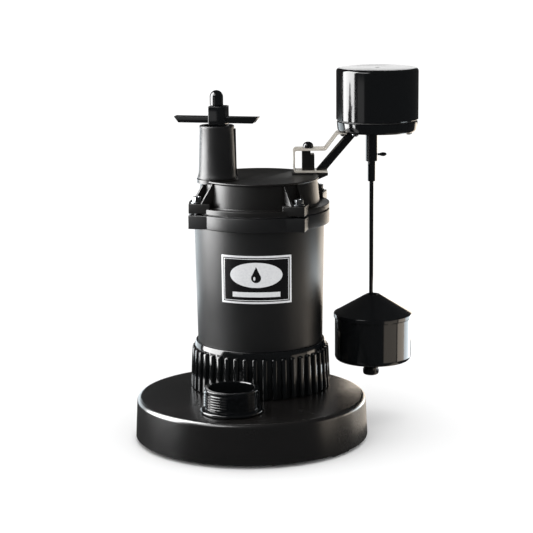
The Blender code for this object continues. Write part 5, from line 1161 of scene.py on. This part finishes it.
def make_rod():
    bottom, top = low("float_rod").z, high("float_rod").z
    rod = softened(peg("long_rod", 1.9 * MM, bottom, top, ROD, 32), 0.3 * MM, 2)
    finished(rod, gloss_black(), "float_rod")
    bottom, top = low("rod_sleeve").z, high("rod_sleeve").z
    bore, radius = 2.2 * MM, 3.4 * MM
    sleeve = lathe("stop_sleeve", [(bore, bottom), (radius, bottom), (radius, top), (bore, top)], ROD, 40)
    finished(softened(sleeve, 0.3 * MM, 2), gloss_black(), "rod_sleeve")
    bottom, top, radius = low("rod_end_stop").z, high("rod_end_stop").z, reach("rod_end_stop")
    waist, floor = radius - 0.5 * MM, bottom + 1.7 * MM
    profile = [(0, bottom), (radius - 1.6 * MM, bottom), (radius - 0.7 * MM, bottom + 0.5 * MM)]
    profile += [(radius - 0.15 * MM, bottom + 1.5 * MM), (radius, bottom + 2.4 * MM)]
    profile += [(radius, top - 1.9 * MM), (waist, top - 1.6 * MM), (waist, top - 0.4 * MM)]
    profile += [(radius - 0.9 * MM, top), (bore, top), (bore, floor), (0, floor)]
    finished(lathe("end_button", profile, ROD, 48), gloss_black(), "rod_end_stop")

    start = low("guide_pin")
    run = Vector((cos(RUN_ANGLE), sin(RUN_ANGLE), 0))
    near = 5.5 * MM
    length = 7.8 * MM
    neck = 1.0 * MM
    profile = [(0, 0), (neck, 0), (neck, 1.5 * MM)]
    profile += [(neck + 0.8 * MM * sin(pi * i / 8), 1.6 * MM + 6.2 * MM * i / 8) for i in range(1, 8)]
    pin = lathe("side_pin", [*profile, (0.6 * MM, length), (0, length)], facets=24)
    laid(pin, "Y")
    height = (start.z + high("guide_pin").z) / 2
    finished(placed(pin, ROD + run * near + Vector((0, 0, height)), RUN_ANGLE), gloss_black(), "guide_pin")


def make_float():
    """The float: a cup with a rounded floor, and a cone over it whose brim stands a little proud."""
    bore = 4.0 * MM
    hub_low, seam = low("float_lower").z, high("float_lower").z
    bottom = hub_low + 6.8 * MM
    radius = 34.4 * MM
    wall = 2.4 * MM
    corner = 4.2 * MM
    profile = [(bore, seam), (bore + wall, seam), (bore + wall, bottom + wall)]
    profile += [(radius - wall, bottom + wall), (radius - wall, seam), (radius, seam)]
    profile += arc((radius - corner, bottom + corner), corner, 0, -pi / 2, 8)
    profile += [(7.6 * MM, bottom), (7.0 * MM, bottom - 0.6 * MM), (7.0 * MM, hub_low + 0.5 * MM)]
    profile += [(6.5 * MM, hub_low), (bore, hub_low)]
    finished(lathe("float_cup", profile, FLOAT), gloss_black(), "float_lower")

    bottom, top = low("float_upper").z, high("float_upper").z
    brim = 35.4 * MM
    lip = bottom + 4.5 * MM
    round_off = 1.0 * MM
    peak = 6.2 * MM
    slope = (top - lip) / (brim - round_off - peak)
    inner, tube = radius - wall, bore + wall
    profile = [(bore, top - 2.4 * MM), (peak - 1.4 * MM, top - 1.8 * MM), (peak - 0.9 * MM, top - 0.3 * MM)]
    profile += [(peak - 0.6 * MM, top), (peak, top), (peak + 0.6 * MM, top - 0.5 * MM * slope)]
    profile += [(brim - round_off - 0.6 * MM, lip + 0.5 * MM * slope)]
    profile += arc((brim - round_off, lip - round_off), round_off, radians(60), 0, 5)
    profile += [(brim, bottom + 0.6 * MM), (brim - 0.4 * MM, bottom), (inner, bottom)]
    profile += [(tube, bottom + (inner - tube) * slope), (tube, bottom), (bore, bottom)]
    finished(lathe("float_cone", profile, FLOAT), gloss_black(), "float_upper", angle=25)


# ---- Finishes of the parts that keep their frame shape -------------------------------------
def dress_kept_parts():
    steel = ("steel", (0.50, 0.50, 0.52), 0.26, 900.0)
    dressing = {
        moulded_black("base", 0.22, 1.0): ("strainer_plate",),
        plain("chamber_plastic", (0.03, 0.03, 0.033), 0.42, 700.0): (
            "volute_casing", "suction_plate", "impeller",
        ),
        metal("cast_aluminium", (0.62, 0.63, 0.65), 0.45, 350.0): ("seal_plate", "upper_end_plate"),
        metal(*steel): ("shaft", "lower_bearing", "upper_bearing", "lever_pin"),
        sheet_steel(): ("switch_lever", "seal_spring", "impeller_nut"),
        laminations(): ("stator_core", "rotor_core"),
        windings(): ("stator_winding",),
        plain("ceramic", (0.74, 0.72, 0.66), 0.24, 300.0): ("seal_seat",),
        plain("carbon", (0.03, 0.03, 0.034), 0.45, 800.0): ("seal_head", "overload_protector"),
        plain("works_plastic", (0.05, 0.05, 0.055), 0.45, 600.0): (
            "snap_switch", "switch_plunger", "terminal_block",
        ),
        black_rubber(): ("cover_gasket", "switch_seal"),
    }
    for material, nodes in dressing.items():
        for node in nodes:
            for material_slot in frame["nodes"][node].material_slots:
                material_slot.material = material


# ---- Studio --------------------------------------------------------------------------------
def studio_matrix():
    return Matrix.Rotation(bpy.context.scene.pump_studio.turn, 4, "Z")


def light_card(name, at, towards, width, height, radiance, colour=(1, 1, 1), use="both"):
    """A soft card of light, placed in the camera's own frame: right, away, up. A card used for gloss is
    seen only in reflections, and one used for fill never is."""
    matrix = studio_matrix()
    light = bpy.data.lights.new(name, "AREA")
    light.shape = "RECTANGLE"
    light.size, light.size_y = width, height
    light.energy = radiance * width * height * pi
    light.color = colour
    card = bpy.data.objects.new(name, light)
    card.location = matrix @ Vector(at)
    aim = (matrix @ Vector(towards)) - card.location
    card.rotation_euler = aim.to_track_quat("-Z", "Y").to_euler()
    card.visible_camera = False
    card.visible_glossy = use != "fill"
    card.visible_diffuse = use != "gloss"
    bpy.context.scene.collection.objects.link(card)
    return card


WORLD_SEEN, WORLD_ON_MATT, WORLD_IN_GLOSS = 1.0, 1.14, 0.05


def make_world():
    """White to the camera, pale to matt surfaces, and dark in reflections."""
    world = bpy.data.worlds.new("studio")
    bpy.context.scene.world = world
    world.use_nodes = True
    tree = world.node_tree
    background = tree.nodes["Background"]
    background.inputs["Color"].default_value = (1, 1, 1, 1)
    path = tree.nodes.new("ShaderNodeLightPath")
    mix = tree.nodes.new("ShaderNodeMix")
    mix.inputs["A"].default_value = WORLD_ON_MATT
    mix.inputs["B"].default_value = WORLD_IN_GLOSS
    tree.links.new(path.outputs["Is Glossy Ray"], mix.inputs["Factor"])
    second = tree.nodes.new("ShaderNodeMix")
    tree.links.new(path.outputs["Is Camera Ray"], second.inputs["Factor"])
    tree.links.new(mix.outputs["Result"], second.inputs["A"])
    second.inputs["B"].default_value = WORLD_SEEN
    tree.links.new(second.outputs["Result"], background.inputs["Strength"])


def make_floor():
    bpy.ops.object.select_all(action="DESELECT")
    bpy.ops.mesh.primitive_plane_add(size=40)
    floor = added("studio_floor")
    colour = tuple(bpy.context.scene.pump_studio.floor)
    finish = Finish("studio_floor", colour, 0.8)
    paler = tuple(min(1.0, channel + 0.02) for channel in colour)
    finish.feed(Base_Color=finish.blend(finish.noise(3.0, 2.0), colour, paler))
    finish.shader.inputs["Specular IOR Level"].default_value = 0.0
    floor.data.materials.append(finish.material)
    floor.visible_glossy = False


def make_camera():
    studio = bpy.context.scene.pump_studio
    data = bpy.data.cameras.new("studio_camera")
    data.lens = studio.lens
    data.sensor_width = 36
    camera = bpy.data.objects.new("studio_camera", data)
    aim = Vector((
        sin(studio.yaw) * cos(studio.pitch), cos(studio.yaw) * cos(studio.pitch), -sin(studio.pitch),
    ))
    turned = aim.to_track_quat("-Z", "Y").to_matrix().to_4x4() @ Matrix.Rotation(studio.roll, 4, "Z")
    place = Matrix.Translation((0, -studio.distance, studio.height))
    camera.matrix_world = studio_matrix() @ place @ turned
    bpy.context.scene.collection.objects.link(camera)
    bpy.context.scene.camera = camera


def make_lights():
    light_card("left_strip", (-0.489, 0.065, 0.42), (0.11, 0.09, 0.28), 0.487, 0.85, 17.0, use="gloss")
    light_card("upper_left", (-0.75, -0.75, 1.1), (0, 0, 0.1), 0.7, 0.7, 4.5, use="gloss")
    light_card("overhead", (0.1, 0.1, 1.5), (0, 0, 0), 1.2, 1.2, 0.5, use="fill")
    light_card("front_fill", (0.5, -1.6, 0.9), (0, 0, 0.12), 1.0, 0.8, 0.6, use="fill")
    float_middle = (0.111, 0.098, 0.04)
    cool, warm = (0.86, 0.95, 1.0), (1.0, 0.88, 0.74)
    light_card("float_strip", (0.282, 0.172, 0.033), float_middle, 0.185, 0.08, 6.0, cool, use="gloss")
    light_card("float_warm", (0.318, 0.040, 0.033), float_middle, 0.110, 0.08, 3.2, warm, use="gloss")
    light_card("float_dim", (0.262, -0.080, 0.033), float_middle, 0.150, 0.08, 1.1, warm, use="gloss")
    light_card("base_end", (0.155, 0.035, 0.012), (0.09, -0.03, 0.02), 0.10, 0.04, 1.0, warm, use="gloss")
    light_card("right_back", (0.30, 0.50, 0.08), (0.01, 0.04, 0.14), 0.42, 0.24, 3.0, warm, use="gloss")
    light_card("left_back", (-0.34, 0.50, 0.08), (-0.01, 0.04, 0.14), 0.4, 0.24, 2.6, cool, use="gloss")
    light_card("cap_card", (0.138, 0.52, 0.36), (0.11, 0.09, 0.319), 0.18, 0.07, 1.3, use="gloss")
    light_card("left_echo", (-0.268, -0.277, 0.24), (0.11, 0.09, 0.28), 0.169, 0.12, 0.6, use="gloss")


# ---- The add-on ----------------------------------------------------------------------------
class PUMP_OT_stage(bpy.types.Operator):
    """Add the floor, the lights and the camera"""

    bl_idname = "pump.stage"
    bl_label = "Stage"

    def execute(self, context):
        make_world()
        make_floor()
        make_camera()
        make_lights()
        return {"FINISHED"}


class PUMP_OT_base(bpy.types.Operator):
    """Model the round base"""

    bl_idname = "pump.base"
    bl_label = "Base"

    def execute(self, context):
        make_base()
        return {"FINISHED"}


class PUMP_OT_outlet(bpy.types.Operator):
    """Model the threaded nipple"""

    bl_idname = "pump.outlet"
    bl_label = "Outlet"

    def execute(self, context):
        make_outlet()
        return {"FINISHED"}


class PUMP_OT_collar(bpy.types.Operator):
    """Model the ribbed collar"""

    bl_idname = "pump.collar"
    bl_label = "Collar"

    def execute(self, context):
        make_collar()
        return {"FINISHED"}


class PUMP_OT_housing(bpy.types.Operator):
    """Model the motor housing"""

    bl_idname = "pump.housing"
    bl_label = "Housing"

    def execute(self, context):
        make_housing()
        return {"FINISHED"}


class PUMP_OT_cover(bpy.types.Operator):
    """Model the cover"""

    bl_idname = "pump.cover"
    bl_label = "Cover"

    def execute(self, context):
        make_cover()
        return {"FINISHED"}


class PUMP_OT_screws(bpy.types.Operator):
    """Model one cover screw and copy it to every corner"""

    bl_idname = "pump.screws"
    bl_label = "Cover screws"

    def execute(self, context):
        make_screws()
        return {"FINISHED"}


class PUMP_OT_tower(bpy.types.Operator):
    """Model the lifting tower"""

    bl_idname = "pump.tower"
    bl_label = "Tower"

    def execute(self, context):
        make_tower()
        return {"FINISHED"}


class PUMP_OT_handle(bpy.types.Operator):
    """Model the lifting handle, its block, stud and nut"""

    bl_idname = "pump.handle"
    bl_label = "Handle"

    def execute(self, context):
        make_handle()
        return {"FINISHED"}


class PUMP_OT_inlet(bpy.types.Operator):
    """Model the power inlet"""

    bl_idname = "pump.inlet"
    bl_label = "Inlet"

    def execute(self, context):
        make_inlet()
        return {"FINISHED"}


class PUMP_OT_nameplate(bpy.types.Operator):
    """Model the blank nameplate"""

    bl_idname = "pump.nameplate"
    bl_label = "Nameplate"

    def execute(self, context):
        make_nameplate()
        return {"FINISHED"}


class PUMP_OT_bracket(bpy.types.Operator):
    """Model the bracket that carries the switch"""

    bl_idname = "pump.bracket"
    bl_label = "Bracket"

    def execute(self, context):
        make_bracket()
        return {"FINISHED"}


class PUMP_OT_switch(bpy.types.Operator):
    """Model the case of the float switch"""

    bl_idname = "pump.switch"
    bl_label = "Switch"

    def execute(self, context):
        make_switch_case()
        return {"FINISHED"}


class PUMP_OT_rod(bpy.types.Operator):
    """Model the rod with its sleeve, end stop and guide pin"""

    bl_idname = "pump.rod"
    bl_label = "Rod"

    def execute(self, context):
        make_rod()
        return {"FINISHED"}


class PUMP_OT_float(bpy.types.Operator):
    """Model the two halves of the float"""

    bl_idname = "pump.float"
    bl_label = "Float"

    def execute(self, context):
        make_float()
        return {"FINISHED"}


class PUMP_OT_kept_parts(bpy.types.Operator):
    """Dress the parts that keep their frame shape"""

    bl_idname = "pump.kept_parts"
    bl_label = "Kept parts"

    def execute(self, context):
        dress_kept_parts()
        return {"FINISHED"}


OPERATORS = (
    PUMP_OT_stage, PUMP_OT_base, PUMP_OT_outlet, PUMP_OT_collar, PUMP_OT_housing, PUMP_OT_cover,
    PUMP_OT_screws, PUMP_OT_tower, PUMP_OT_handle, PUMP_OT_inlet, PUMP_OT_nameplate,
    PUMP_OT_bracket, PUMP_OT_switch, PUMP_OT_rod, PUMP_OT_float, PUMP_OT_kept_parts,
)


class PUMP_PT_panel(bpy.types.Panel):
    bl_label = "Sump Pump"
    bl_space_type = "VIEW_3D"
    bl_region_type = "UI"
    bl_category = "Sump Pump"

    def draw(self, context):
        for maker in OPERATORS:
            self.layout.operator(maker.bl_idname)


GROUPS = {"pump_sizes": PumpSizes, "pump_finishes": PumpFinishes, "pump_studio": PumpStudio}


def register():
    for name, group in GROUPS.items():
        bpy.utils.register_class(group)
        setattr(bpy.types.Scene, name, bpy.props.PointerProperty(type=group))
    for maker in OPERATORS:
        bpy.utils.register_class(maker)
    bpy.utils.register_class(PUMP_PT_panel)


def unregister():
    bpy.utils.unregister_class(PUMP_PT_panel)
    for maker in reversed(OPERATORS):
        bpy.utils.unregister_class(maker)
    for name, group in GROUPS.items():
        delattr(bpy.types.Scene, name)
        bpy.utils.unregister_class(group)


def main():
    register()
    bpy.context.scene.view_settings.view_transform = "Standard"
    for maker in OPERATORS:
        getattr(bpy.ops.pump, maker.bl_idname.split(".")[1])()


if __name__ == "__main__":
    main()
